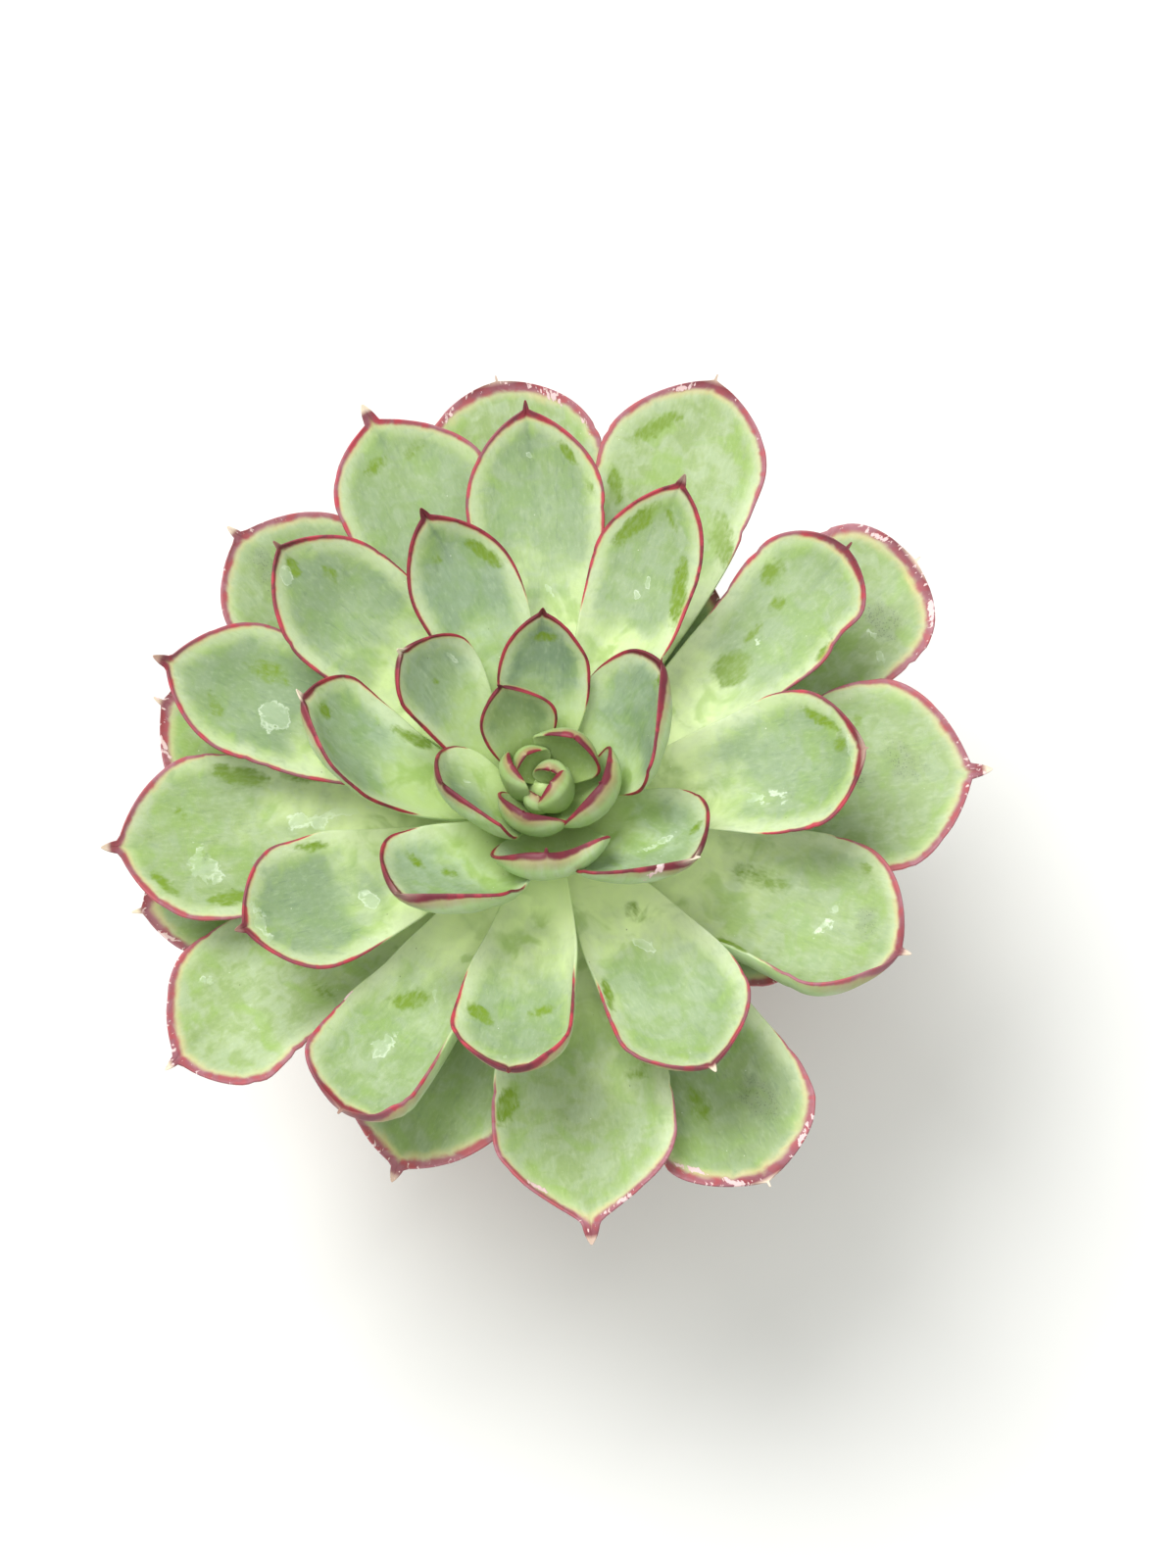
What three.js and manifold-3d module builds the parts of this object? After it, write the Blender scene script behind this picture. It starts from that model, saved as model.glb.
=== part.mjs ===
// A potted echeveria rosette: a plain terracotta pot, its soil, a short leaning stem, one solid for
// each leaf and one for the closed heart. Millimetres and degrees, +Z up, the origin at the middle
// of the pot's foot.
import * as THREE from "three";
import { mergeVertices } from "three/addons/utils/BufferGeometryUtils.js";
import Module from "manifold-3d";

// Pot
const POT_HEIGHT = 72;
const FOOT_RADIUS = 29;
const COLLAR_HEIGHT = 17;
const COLLAR_RADIUS = 42;
const NECK_RADIUS = 38;
const WALL = 4;
const FLOOR = 5;
const EDGE = 1.2;
const POT_SIDES = 44;
const DRAIN_RADIUS = 4;
const DRAIN_SIDES = 14;
const DRAIN_CIRCLE = 13;
const DRAINS = 3;

// Soil
const SOIL_BELOW_RIM = 6;
const SOIL_ROUGHNESS = 0.8;
const GAP = 0.3;

// Stem: it rises from the soil and leans a little towards the front right
const STEM_ROOT_DEPTH = 16;
const STEM_RADIUS = 7.5;
const STEM_TIP_RADIUS = 1.9;
const STEM_SIDES = 14;
const LEAN_X = 3;
const LEAN_Y = -7;

// Rosette: leaves leave the stem on one spiral, the oldest lowest. ROOT_DEPTH and BASE_WIDTH are
// shares of the stem's radius where the leaf stands.
const LOWEST_LEAF = 76;
const RISE_PER_LEAF = 0.7;
const TURN_PER_LEAF = 138.14;
const PHASE = 82;
const OLDEST = 21;
const FULL_GROWN = 8;
const YOUNGEST = -23;
const LONGEST = 72;
const BLADE_EDGE = 0.8;
const BLADE_END = 0.965;
const SHOULDER = 0.72;
const SPINE_WIDTH = 1.1;
const OLD_BODY = 3.4;
const YOUNG_BODY = 2.2;
const BASE_WIDTH = 1.12;
const ROOT_DEPTH = 0.45;
const DENT_PLACE = 0.82;
const DENT_SPREAD = 0.07;

// Each leaf: its age, the height of its tip and its greatest width. Where they differ from the usual:
// how far the tip strays aside from the spiral, counter-clockwise, and how much longer it reaches than
// the growth of its age, the blade's sideways skew, how much its sides curl up, how far it rolls
// about its own length, the rise of its base and end, where it is fullest, how soon its shoulders
// draw in, the way it faces, and the depth of a dent in one margin.
const LEAVES = [
  { age: 21, aside: -8, longer: -21, tip: 82, width: 24 },
  { age: 20, aside: -3, longer: -4, tip: 84, width: 27 },
  { age: 19, aside: -6, longer: -16, tip: 84, width: 24 },
  { age: 18, aside: 8, longer: -12, tip: 86, width: 22 },
  { age: 17, aside: -3, longer: -5, tip: 87, width: 29, skew: -0.04 },
  { age: 16, aside: 1, longer: 5, tip: 89, width: 28.5, skew: -0.09, fullest: 0.84, shoulder: 0.5 },
  { age: 15, aside: -5, longer: -7, tip: 89, width: 27, skew: 0.16, fullest: 0.8 },
  { age: 14, aside: -8, longer: 2, tip: 90, width: 27, skew: 0.02, fullest: 0.84 },
  { age: 13, aside: 9, longer: 2, tip: 92, width: 31, skew: -0.06, fullest: 0.8, shoulder: 0.62 },
  { age: 12, aside: -6, longer: 2, tip: 93, width: 25.5, skew: -0.3, fullest: 0.8 },
  { age: 11, longer: 2, tip: 95, width: 33, skew: 0.06, fullest: 0.76 },
  { age: 10, aside: -2, longer: -4, tip: 96, width: 29, skew: -0.12, fullest: 0.76 },
  { age: 9, aside: -2, longer: 2, tip: 97, width: 30, skew: 0.07, fullest: 0.74, shoulder: 1.15 },
  { age: 8, aside: 10, longer: 5, tip: 100, width: 28.5, skew: 0.1, fullest: 0.78 },
  { age: 7, aside: -6, longer: -2, tip: 100, width: 28, skew: -0.1, fullest: 0.76 },
  { age: 6, aside: 1, longer: -6, tip: 101, width: 29.5, curl: 22, fullest: 0.78 },
  { age: 5, aside: 3, tip: 104, width: 26.5, skew: -0.14, fullest: 0.76 },
  {
    age: 4, aside: -9, longer: -7, tip: 103, width: 22,
    skew: -0.06, curl: 26, fullest: 0.86, shoulder: 0.5,
  },
  {
    age: 3, aside: 10, longer: -3, tip: 106, width: 21.5,
    skew: -0.04, fullest: 0.84, shoulder: 0.55, dent: 0.16,
  },
  { age: 2, aside: -3, longer: -1, tip: 108, width: 23, skew: -0.14, fullest: 0.72 },
  { age: 1, aside: -4, longer: -8, tip: 106, width: 23.5, skew: 0.06, fullest: 0.76 },
  { age: 0, aside: 10, longer: 2, tip: 111, width: 23, skew: 0.03, fullest: 0.72 },
  { age: -1, aside: -11, longer: -4, tip: 110, width: 22.5, skew: -0.1, fullest: 0.74 },
  { age: -2, aside: 5, longer: -3, tip: 112, width: 23.5, skew: 0.08, fullest: 0.78 },
  { age: -3, aside: 3, longer: 4, tip: 116, width: 22.5, skew: -0.07, fullest: 0.7 },
  { age: -4, aside: -10, longer: 1, tip: 115, width: 20.5, skew: -0.06, fullest: 0.8, shoulder: 0.6 },
  { age: -5, aside: 11, longer: 7, tip: 119, width: 18, skew: 0.14, fullest: 0.68 },
  {
    age: -6, aside: -27, longer: -2, tip: 118, width: 21,
    skew: 0.22, curl: 45, roll: 25, fullest: 0.76,
  },
  {
    age: -7, aside: -1, longer: -9, tip: 116, width: 26,
    skew: -0.2, curl: 50, roll: -25, fullest: 0.68,
  },
  { age: -8, aside: 8, longer: 10, tip: 121, width: 18, skew: -0.14, fullest: 0.66 },
  {
    age: -9, aside: -21, tip: 119, width: 25.5,
    skew: 0.2, curl: 56, roll: 25, fullest: 0.72,
  },
  {
    age: -10, aside: 17, longer: -3, tip: 120, width: 25,
    skew: -0.32, curl: 52, roll: -30, fullest: 0.62, shoulder: 0.6,
  },
  { age: -11, aside: -19, longer: 4, tip: 121, width: 16.5, skew: -0.35, roll: 10, fullest: 0.75 },
  {
    age: -12, aside: -27, longer: -7, tip: 118, width: 20,
    skew: 0.08, start: -10, end: 144, curl: 45, roll: 10,
  },
  { age: -13, aside: 12, longer: 6, tip: 122, width: 15, skew: 0.1, fullest: 0.58 },
  {
    age: -14, aside: -24, longer: 1, tip: 119, width: 20,
    skew: 0, end: 82, roll: 30, fullest: 0.56, shoulder: 0.9,
  },
  {
    age: -15, aside: -10, longer: -3, tip: 116.5, facing: 330,
    width: 16.5, start: 0, end: 125, curl: 55,
  },
  {
    age: -16, aside: -13, longer: 5, tip: 119, width: 13,
    skew: -0.28, curl: 44, roll: -14, shoulder: 0.9,
  },
  {
    age: -17, aside: -26, tip: 115, facing: 246,
    width: 13, start: 30, end: 110, curl: 50,
  },
];

// The closed leaves of the heart, fused with the growing point
const HEART = [
  { age: -18, aside: 2, longer: 2, tip: 115, facing: 64, width: 12, start: 40, end: 105 },
  { age: -19, aside: -29, longer: 2, tip: 113.5, facing: 205, width: 8, start: 40, end: 100 },
  { age: -20, longer: -1, tip: 112.5, facing: 325, width: 8.5, start: 25, end: 135 },
  { age: -21, aside: 23, longer: 4, tip: 112, facing: 130, width: 7, start: 40, end: 105 },
  { age: -22, longer: 2, tip: 110.5, facing: 241, width: 5.5, start: 30, end: 120 },
  { age: -23, aside: 50, longer: 2, tip: 111.5, facing: 70, width: 6.5, start: 30, end: 120 },
];

const LEAF_STATIONS = [0, 0.15, 0.32, 0.48, 0.62, 0.74, 0.83, 0.9, 0.95, 1];
const HEART_STATIONS = [0, 0.25, 0.5, 0.7, 0.84, 0.94, 1];
const LEAF_CELLS = 6;
const HEART_CELLS = 4;

const wasm = await Module();
wasm.setup();

// A closed geometry as a solid that can be joined and cut.
function solidOf(geometry) {
  const plain = geometry.clone();
  plain.deleteAttribute("normal");
  plain.deleteAttribute("uv");
  const merged = mergeVertices(plain, 1e-4);
  return new wasm.Manifold(
    new wasm.Mesh({
      numProp: 3,
      vertProperties: merged.attributes.position.array,
      triVerts: new Uint32Array(merged.index.array),
    }),
  );
}

// The largest body of a solid, back as a geometry.
function geometryOf(solid) {
  const bodies = solid.decompose();
  const largest = bodies.reduce((a, b) => (b.volume() > a.volume() ? b : a));
  const mesh = largest.getMesh();
  const geometry = new THREE.BufferGeometry();
  geometry.setAttribute("position", new THREE.BufferAttribute(mesh.vertProperties, 3));
  geometry.setIndex(new THREE.BufferAttribute(mesh.triVerts, 1));
  geometry.computeVertexNormals();
  return geometry;
}

function finish(colour, roughness) {
  return new THREE.MeshStandardMaterial({ color: colour, roughness, metalness: 0 });
}

function named(name, geometry, material) {
  const mesh = new THREE.Mesh(geometry, material);
  mesh.name = name;
  return mesh;
}

// A lathe of [radius, height] points about the Z axis.
function lathe(points, sides) {
  const profile = points.map(([radius, height]) => new THREE.Vector2(radius, height));
  return new THREE.LatheGeometry(profile, sides).rotateX(Math.PI / 2);
}

const mix = THREE.MathUtils.lerp;
const radians = THREE.MathUtils.degToRad;

// Where a leaf of some age stands: 0 for the oldest, 1 at the growing point.
function youth(age) {
  return (OLDEST - age) / (OLDEST - YOUNGEST);
}

// How far from the stem a leaf's tip lies as seen from above: next to nothing in the heart, then
// farther with age until the leaf is full grown.
function growth(age) {
  return LONGEST * THREE.MathUtils.smoothstep(age, YOUNGEST, FULL_GROWN);
}

function attachHeight(age) {
  return LOWEST_LEAF + (OLDEST - age) * RISE_PER_LEAF;
}

const GROWING_POINT = attachHeight(YOUNGEST);
const STEM_TOP = attachHeight(HEART[0].age) - 1.5;

// The stem's radius at a height: thick where the old leaves stand, tapering to the growing point.
function stemRadius(height) {
  const along = (height - LOWEST_LEAF) / (GROWING_POINT - LOWEST_LEAF);
  return mix(STEM_RADIUS, STEM_TIP_RADIUS, Math.pow(THREE.MathUtils.clamp(along, 0, 1), 1.5));
}

// The middle of the leaning stem at a height.
function stemAxis(height) {
  const soil = POT_HEIGHT - SOIL_BELOW_RIM;
  const share = Math.max(0, (height - soil) / (GROWING_POINT - soil));
  return new THREE.Vector3(LEAN_X * share, LEAN_Y * share, height);
}

function heading(azimuth, rise) {
  return new THREE.Vector3(
    Math.cos(radians(azimuth)) * Math.cos(radians(rise)),
    Math.sin(radians(azimuth)) * Math.cos(radians(rise)),
    Math.sin(radians(rise)),
  );
}

// Half of a leaf's width as a share of its greatest half width, from its base to its tip: a waist
// at the stem, the fullest place beyond the middle, then shoulders that draw in to a spine.
function outline(s, waist, fullest, shoulder, spine) {
  if (s < fullest) {
    const x = s / fullest;
    return mix(waist, 1, x * x * (3 - 2 * x));
  }
  const u = Math.min(1, (s - fullest) / (BLADE_END - fullest));
  const point = mix(spine, 0.3 * spine, (s - fullest) / (1 - fullest));
  return Math.max(Math.pow(1 - u * u, shoulder), point);
}

// A leaf as rows of points round its section, wrapped in a closed skin. A clearance makes it fatter
// all round.
function leafGeometry(leaf, stations, cells, clearance = 0) {
  const young = youth(leaf.age);
  const width = leaf.width + 2 * clearance;
  const curl = radians(leaf.curl ?? mix(14, 38, young));
  const base = stemAxis(attachHeight(leaf.age));
  const baseRadius = stemRadius(base.z);
  const baseAzimuth = PHASE - TURN_PER_LEAF * leaf.age;
  const tipReach = growth(leaf.age) + (leaf.longer ?? 0);
  const tip = heading(baseAzimuth + (leaf.aside ?? 0), 0).multiplyScalar(tipReach).add(base);
  tip.z = leaf.tip;
  const root = base.clone().add(heading(baseAzimuth, 0).multiplyScalar(ROOT_DEPTH * baseRadius));
  const chord = tip.clone().sub(root);
  const chordAzimuth = THREE.MathUtils.radToDeg(Math.atan2(chord.y, chord.x));
  const facing = leaf.facing ?? chordAzimuth;
  const sway = THREE.MathUtils.euclideanModulo(facing - baseAzimuth + 180, 360) - 180;
  const startRise = leaf.start ?? mix(4, 62, young * young);
  const endRise = leaf.end ?? mix(14, 95, Math.pow(young, 1.3));
  const reach = chord.length() / 3;
  const start = heading(baseAzimuth, startRise).multiplyScalar(reach);
  const end = heading(facing + 0.5 * sway, endRise).multiplyScalar(reach);
  const rib = new THREE.CubicBezierCurve3(
    root,
    root.clone().add(start),
    tip.clone().sub(end),
    tip,
  );
  const waist = (BASE_WIDTH * baseRadius) / leaf.width;
  const fullest = leaf.fullest ?? mix(0.74, 0.6, young);
  const spine = SPINE_WIDTH / leaf.width;
  const thickness = mix(OLD_BODY, YOUNG_BODY, young);
  const across = heading(facing + 90, 0);
  const dent = leaf.dent ?? 0;
  const points = [];
  for (const s of stations) {
    const middle = rib.getPoint(s);
    const along = rib.getTangent(s);
    const side = across.clone().addScaledVector(along, -across.dot(along)).normalize();
    const up = along.clone().cross(side);
    const roll = radians(leaf.roll ?? 0) * Math.min(1, 1.5 * s);
    const right = side.clone().multiplyScalar(Math.cos(roll)).addScaledVector(up, Math.sin(roll));
    const normal = along.clone().cross(right);
    const share = outline(s, waist, fullest, leaf.shoulder ?? SHOULDER, spine);
    const half = (width / 2) * share;
    const shift = (leaf.skew ?? 0) * (leaf.width / 2) * Math.sin(Math.PI * Math.pow(s, 1.6));
    const bend = curl * mix(1, 0.8, s);
    const radius = half / bend;
    const body = thickness * Math.pow(Math.min(1, share * 1.25), 0.7) * mix(1.15, 0.85, s);
    const upper = [];
    const lower = [];
    for (let j = 0; j <= cells; j++) {
      const v = (2 * j) / cells - 1;
      const angle = v * bend;
      const dented = 1 - dent * Math.max(0, -v) * Math.exp(-(((s - DENT_PLACE) / DENT_SPREAD) ** 2));
      const face = middle
        .clone()
        .addScaledVector(right, shift + radius * Math.sin(angle) * dented)
        .addScaledVector(normal, radius * (1 - Math.cos(angle)) + clearance);
      const out = normal
        .clone()
        .multiplyScalar(-Math.cos(angle))
        .addScaledVector(right, Math.sin(angle));
      const edge = Math.min(BLADE_EDGE, body);
      const depth = edge + (body - edge) * (1 - v * v) + 2 * clearance;
      upper.push(face);
      lower.push(face.clone().addScaledVector(out, depth));
    }
    points.push(...upper, ...lower.reverse());
  }
  return skin(points, 2 * (cells + 1), cells);
}

// Rows of the same number of points, each row a closed loop, skinned into one closed geometry. The
// two faces of the blade are split along the same diagonals.
function skin(points, ring, cells) {
  const rows = points.length / ring;
  const index = [];
  const quad = (a, b, c, d) => index.push(a, b, c, b, d, c);
  const mirrored = (a, b, c, d) => index.push(a, b, d, a, d, c);
  for (let i = 0; i < rows - 1; i++) {
    for (let j = 0; j < ring; j++) {
      const here = i * ring + j;
      const next = i * ring + ((j + 1) % ring);
      const split = j < cells ? quad : mirrored;
      split(here, here + ring, next, next + ring);
    }
  }
  const last = (rows - 1) * ring;
  for (let j = 0; j < cells; j++) {
    const under = ring - 1 - j;
    quad(j, j + 1, under, under - 1);
    quad(last + j + 1, last + j, last + under - 1, last + under);
  }
  const geometry = new THREE.BufferGeometry();
  geometry.setAttribute(
    "position",
    new THREE.Float32BufferAttribute(points.flatMap((p) => [p.x, p.y, p.z]), 3),
  );
  geometry.setIndex(index);
  return geometry;
}

function makePot() {
  const collarFoot = POT_HEIGHT - COLLAR_HEIGHT;
  const slope = (NECK_RADIUS - FOOT_RADIUS) / collarFoot;
  const innerFoot = FOOT_RADIUS + slope * FLOOR - WALL;
  const innerRim = COLLAR_RADIUS - WALL - EDGE;
  const profile = [
    [0, 0],
    [FOOT_RADIUS - EDGE, 0],
    [FOOT_RADIUS, EDGE],
    [NECK_RADIUS, collarFoot],
    [COLLAR_RADIUS - 1.5 * EDGE, collarFoot],
    [COLLAR_RADIUS - 0.5 * EDGE, collarFoot + EDGE],
    [COLLAR_RADIUS, POT_HEIGHT - EDGE],
    [COLLAR_RADIUS - EDGE, POT_HEIGHT],
    [innerRim + EDGE, POT_HEIGHT],
    [innerRim, POT_HEIGHT - EDGE],
    [innerFoot + EDGE, FLOOR + EDGE],
    [innerFoot - EDGE, FLOOR],
    [0, FLOOR],
  ];
  let pot = solidOf(lathe(profile, POT_SIDES));
  for (let i = 0; i < DRAINS; i++) {
    const turn = (2 * Math.PI * i) / DRAINS + Math.PI / 2;
    const drain = new THREE.CylinderGeometry(DRAIN_RADIUS, DRAIN_RADIUS, 3 * FLOOR, DRAIN_SIDES);
    drain.rotateX(Math.PI / 2);
    drain.translate(DRAIN_CIRCLE * Math.cos(turn), DRAIN_CIRCLE * Math.sin(turn), 0.5 * FLOOR);
    pot = pot.subtract(solidOf(drain));
  }
  return { pot: geometryOf(pot), innerFoot, innerRim };
}

function makeSoil(innerFoot, innerRim) {
  const top = POT_HEIGHT - SOIL_BELOW_RIM;
  const wallAt = (height) =>
    mix(innerFoot + EDGE, innerRim, (height - FLOOR - EDGE) / (POT_HEIGHT - FLOOR - 2 * EDGE));
  const hole = STEM_RADIUS + GAP;
  const holeFloor = top - STEM_ROOT_DEPTH - GAP;
  const bottom = FLOOR + GAP;
  const rim = wallAt(top) - 1.4 * GAP;
  const profile = [
    [0, bottom],
    [innerFoot - EDGE - GAP, bottom],
    [wallAt(FLOOR + 2 * EDGE) - 1.4 * GAP, FLOOR + 2 * EDGE],
    [rim, top - 2],
    [rim - 1, top - 0.6],
    [rim * 0.82, top],
    [rim * 0.6, top + 0.6],
    [rim * 0.4, top + 0.9],
    [hole, top + 0.4],
    [hole, holeFloor],
    [0, holeFloor],
  ];
  const soil = lathe(profile, POT_SIDES);
  const position = soil.attributes.position;
  for (let i = 0; i < position.count; i++) {
    const x = position.getX(i);
    const y = position.getY(i);
    const z = position.getZ(i);
    const radius = Math.hypot(x, y);
    if (z < top - 1 || radius < hole + 0.5) continue;
    const crumbs = Math.sin(0.9 * x + 0.4 * y) * Math.cos(0.7 * y - 0.3 * x + 1);
    position.setZ(i, z + SOIL_ROUGHNESS * crumbs);
  }
  return geometryOf(solidOf(soil));
}

// The stem's radius grows by a clearance when it is the shape that the leaves are cut by.
function stemGeometry(clearance = 0) {
  const soil = POT_HEIGHT - SOIL_BELOW_RIM;
  const rows = 6;
  const profile = [
    [0, soil - STEM_ROOT_DEPTH],
    [STEM_RADIUS - 2 + clearance, soil - STEM_ROOT_DEPTH],
    [STEM_RADIUS + clearance, soil - STEM_ROOT_DEPTH + 3],
  ];
  for (let i = 0; i <= rows; i++) {
    const height = mix(soil, STEM_TOP, i / rows);
    profile.push([stemRadius(height) + clearance, height]);
  }
  profile.push([0, STEM_TOP]);
  const stem = lathe(profile, STEM_SIDES);
  const position = stem.attributes.position;
  for (let i = 0; i < position.count; i++) {
    const axis = stemAxis(position.getZ(i));
    position.setX(i, position.getX(i) + axis.x);
    position.setY(i, position.getY(i) + axis.y);
  }
  return stem;
}

// The growing point itself: a small dome on the stem's end, grown by a clearance for cutting.
function domeGeometry(clearance = 0) {
  const foot = STEM_TOP + GAP;
  const radius = stemRadius(foot) + clearance;
  const rise = GROWING_POINT + 1 + clearance - foot;
  const profile = [[0, foot]];
  for (let i = 0; i <= 4; i++) {
    const turn = (Math.PI / 2) * (i / 4);
    profile.push([i === 4 ? 0 : radius * Math.cos(turn), foot + rise * Math.sin(turn)]);
  }
  const dome = lathe(profile, STEM_SIDES);
  const middle = stemAxis(foot);
  return dome.translate(middle.x, middle.y, 0);
}

// The heart's leaves joined with the growing point, all of them grown by a clearance.
function heartSolid(clearance) {
  const leaves = HEART.map((leaf) =>
    solidOf(leafGeometry(leaf, HEART_STATIONS, HEART_CELLS, clearance)),
  );
  return leaves.reduce((all, leaf) => all.add(leaf), solidOf(domeGeometry(clearance)));
}

const plant = new THREE.Group();
const { pot, innerFoot, innerRim } = makePot();
plant.add(named("pot", pot, finish("#b0603c", 0.85)));
plant.add(named("soil", makeSoil(innerFoot, innerRim), finish("#3a2c22", 0.95)));
plant.add(named("stem", geometryOf(solidOf(stemGeometry())), finish("#8a9a62", 0.7)));

const cutter = solidOf(stemGeometry(GAP));
plant.add(named("heart", geometryOf(heartSolid(0).subtract(cutter)), finish("#93ab74", 0.55)));

// Each leaf gives way to the stem and to the younger leaves that press on it.
const pressing = [cutter, heartSolid(GAP)];
for (const leaf of [...LEAVES].reverse()) {
  const number = String(OLDEST - leaf.age + 1).padStart(2, "0");
  let blade = solidOf(leafGeometry(leaf, LEAF_STATIONS, LEAF_CELLS));
  for (const other of pressing) blade = blade.subtract(other);
  const green = new THREE.Color("#b2c88a").lerp(new THREE.Color("#8cab84"), youth(leaf.age));
  plant.add(named(`leaf_${number}`, geometryOf(blade), finish(green, 0.5)));
  pressing.push(solidOf(leafGeometry(leaf, LEAF_STATIONS, LEAF_CELLS, GAP)));
}

export default plant;
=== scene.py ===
"""A potted echeveria rosette: waxy leaves with crimson margins on a short stem in a clay pot.

Millimetres and degrees inside the classes, metres in every finished mesh. Azimuths turn
counter-clockwise from +X as seen from above, and the viewer stands on the -Y side.
"""

import logging
import math
from dataclasses import dataclass, field
from enum import Enum
from functools import partial, reduce

import bpy
import numpy as np
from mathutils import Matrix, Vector


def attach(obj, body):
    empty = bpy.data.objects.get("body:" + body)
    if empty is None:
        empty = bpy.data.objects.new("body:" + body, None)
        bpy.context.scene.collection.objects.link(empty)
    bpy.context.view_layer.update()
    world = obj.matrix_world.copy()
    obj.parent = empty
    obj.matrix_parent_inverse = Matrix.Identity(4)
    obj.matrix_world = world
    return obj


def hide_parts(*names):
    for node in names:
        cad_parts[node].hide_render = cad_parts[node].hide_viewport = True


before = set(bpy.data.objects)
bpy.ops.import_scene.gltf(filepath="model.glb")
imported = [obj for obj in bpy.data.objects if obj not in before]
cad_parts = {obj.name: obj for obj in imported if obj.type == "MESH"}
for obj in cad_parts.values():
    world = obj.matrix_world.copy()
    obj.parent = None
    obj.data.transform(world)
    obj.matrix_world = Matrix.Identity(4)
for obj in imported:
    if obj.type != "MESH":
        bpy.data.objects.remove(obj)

log = logging.getLogger("echeveria")

MM = 0.001
SEED = 5927
BODY = "root"

Socket = bpy.types.NodeSocket
Node = bpy.types.Node
Tree = bpy.types.NodeTree
Material = bpy.types.Material
Object = bpy.types.Object
Array = np.ndarray
Rng = np.random.Generator
Value = float | Socket
Rgb = tuple[int, int, int]
Face = tuple[int, ...]
Pair = tuple[float, float]
Triple = tuple[float, float, float]
Settings = dict[str, object]


# Small sums that every form uses


def mix(a, b, share):
    """The value at some share of the way from a to b."""
    return a + (b - a) * share


def ease(x, low: float = 0.0, high: float = 1.0):
    """A smooth step: 0 below low, 1 above high, for a number or an array."""
    t = np.clip((x - low) / (high - low), 0, 1)
    return t * t * (3 - 2 * t)


def hump(x, *steps: float):
    """A smooth rise between the first two of four places and a fall between the others."""
    return ease(x, *steps[:2]) * (1 - ease(x, *steps[2:]))


def bell(x, middle: float, spread: float):
    """A bell curve, 1 at its middle."""
    return np.exp(-(((x - middle) / spread) ** 2))


def heading(azimuth: float, rise: float = 0.0) -> Array:
    """The unit vector at an azimuth and a rise above the level, both in degrees."""
    a, r = math.radians(azimuth), math.radians(rise)
    return np.array([math.cos(a) * math.cos(r), math.sin(a) * math.cos(r), math.sin(r)])


def arc(count: int, crowding: float) -> Array:
    """Places from -1 to 1 that stand the closer near both ends, the greater the crowding."""
    even = np.linspace(-1, 1, count)
    return crowding * np.sin(even * math.pi / 2) + (1 - crowding) * even


def summed(steps: Array) -> Array:
    """The running sum of some steps, from 0."""
    return np.concatenate([[0], np.cumsum(steps)])


def ripple(a: Array, b: Array, rng: Rng, length: float) -> Array:
    """A smooth irregular swell over a sheet.

    Args:
        a: first coordinate of each point.
        b: second coordinate of each point.
        rng: draws the directions and phases of its waves.
        length: the usual distance between two crests.

    Returns:
        Heights from about -1 to 1.
    """
    total = np.zeros_like(a, dtype=float)
    for _ in range(6):
        turn, phase = rng.uniform(0, 2 * math.pi, 2)
        wave = 2 * math.pi / (length * rng.uniform(0.65, 1.6))
        total = total + np.sin(wave * (a * math.cos(turn) + b * math.sin(turn)) + phase)
    return total / 3


def linear(colour: Rgb) -> tuple[float, float, float, float]:
    """A display colour, each part from 0 to 255, as the shader's linear colour."""
    parts = [c / 255 for c in colour]
    return (*[c / 12.92 if c <= 0.04045 else ((c + 0.055) / 1.055) ** 2.4 for c in parts], 1.0)


def mixed(a: Rgb, b: Rgb, share: float) -> Rgb:
    """The display colour at some share of the way from a to b."""
    return tuple(round(mix(p, q, share)) for p, q in zip(a, b))


# Meshes


@dataclass
class Skin:
    """A closed surface with one value per point for each of its markings."""

    points: Array  # positions in millimetres
    faces: list[Face]  # corner numbers, outward
    marks: dict[str, Array] = field(default_factory=dict)  # numbers or vectors for each point, by name

    def joined(self, other: "Skin") -> "Skin":
        """This surface and another in one, with this one's markings."""
        shift = len(self.points)
        faces = self.faces + [tuple(i + shift for i in f) for f in other.faces]
        marks = {n: np.concatenate([m, other.marks[n]]) for n, m in self.marks.items()}
        return Skin(np.concatenate([self.points, other.points]), faces, marks)

    def volume(self) -> float:
        """The signed volume, positive where the faces point out."""
        total = 0.0
        for f in self.faces:
            a = self.points[f[0]]
            for i in range(1, len(f) - 1):
                total += float(np.dot(a, np.cross(self.points[f[i]], self.points[f[i + 1]])))
        return total / 6

    def piece(self, name: str) -> Object:
        """The surface as a smooth object of the scene, at the origin.

        Args:
            name: the object's name.

        Returns:
            The object.
        """
        mesh = bpy.data.meshes.new(name)
        mesh.from_pydata((self.points * MM).tolist(), [], self.faces)
        for mark, values in self.marks.items():
            flat = values.ndim == 1
            layer = mesh.attributes.new(mark, "FLOAT" if flat else "FLOAT_VECTOR", "POINT")
            layer.data.foreach_set("value" if flat else "vector", values.astype(np.float32).ravel())
        mesh.polygons.foreach_set("use_smooth", [True] * len(mesh.polygons))
        mesh.update()
        piece = bpy.data.objects.new(name, mesh)
        bpy.context.scene.collection.objects.link(piece)
        return piece


def tube(rows: int, ring: int) -> list[Face]:
    """The faces that join rings of points, row by row.

    Args:
        rows: how many rings there are.
        ring: how many points each has.

    Returns:
        The faces.
    """
    faces: list[Face] = []
    for low in range(0, (rows - 1) * ring, ring):
        high = low + ring
        for j in range(ring):
            k = (j + 1) % ring
            faces.append((low + j, high + j, high + k, low + k))
    return faces


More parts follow.
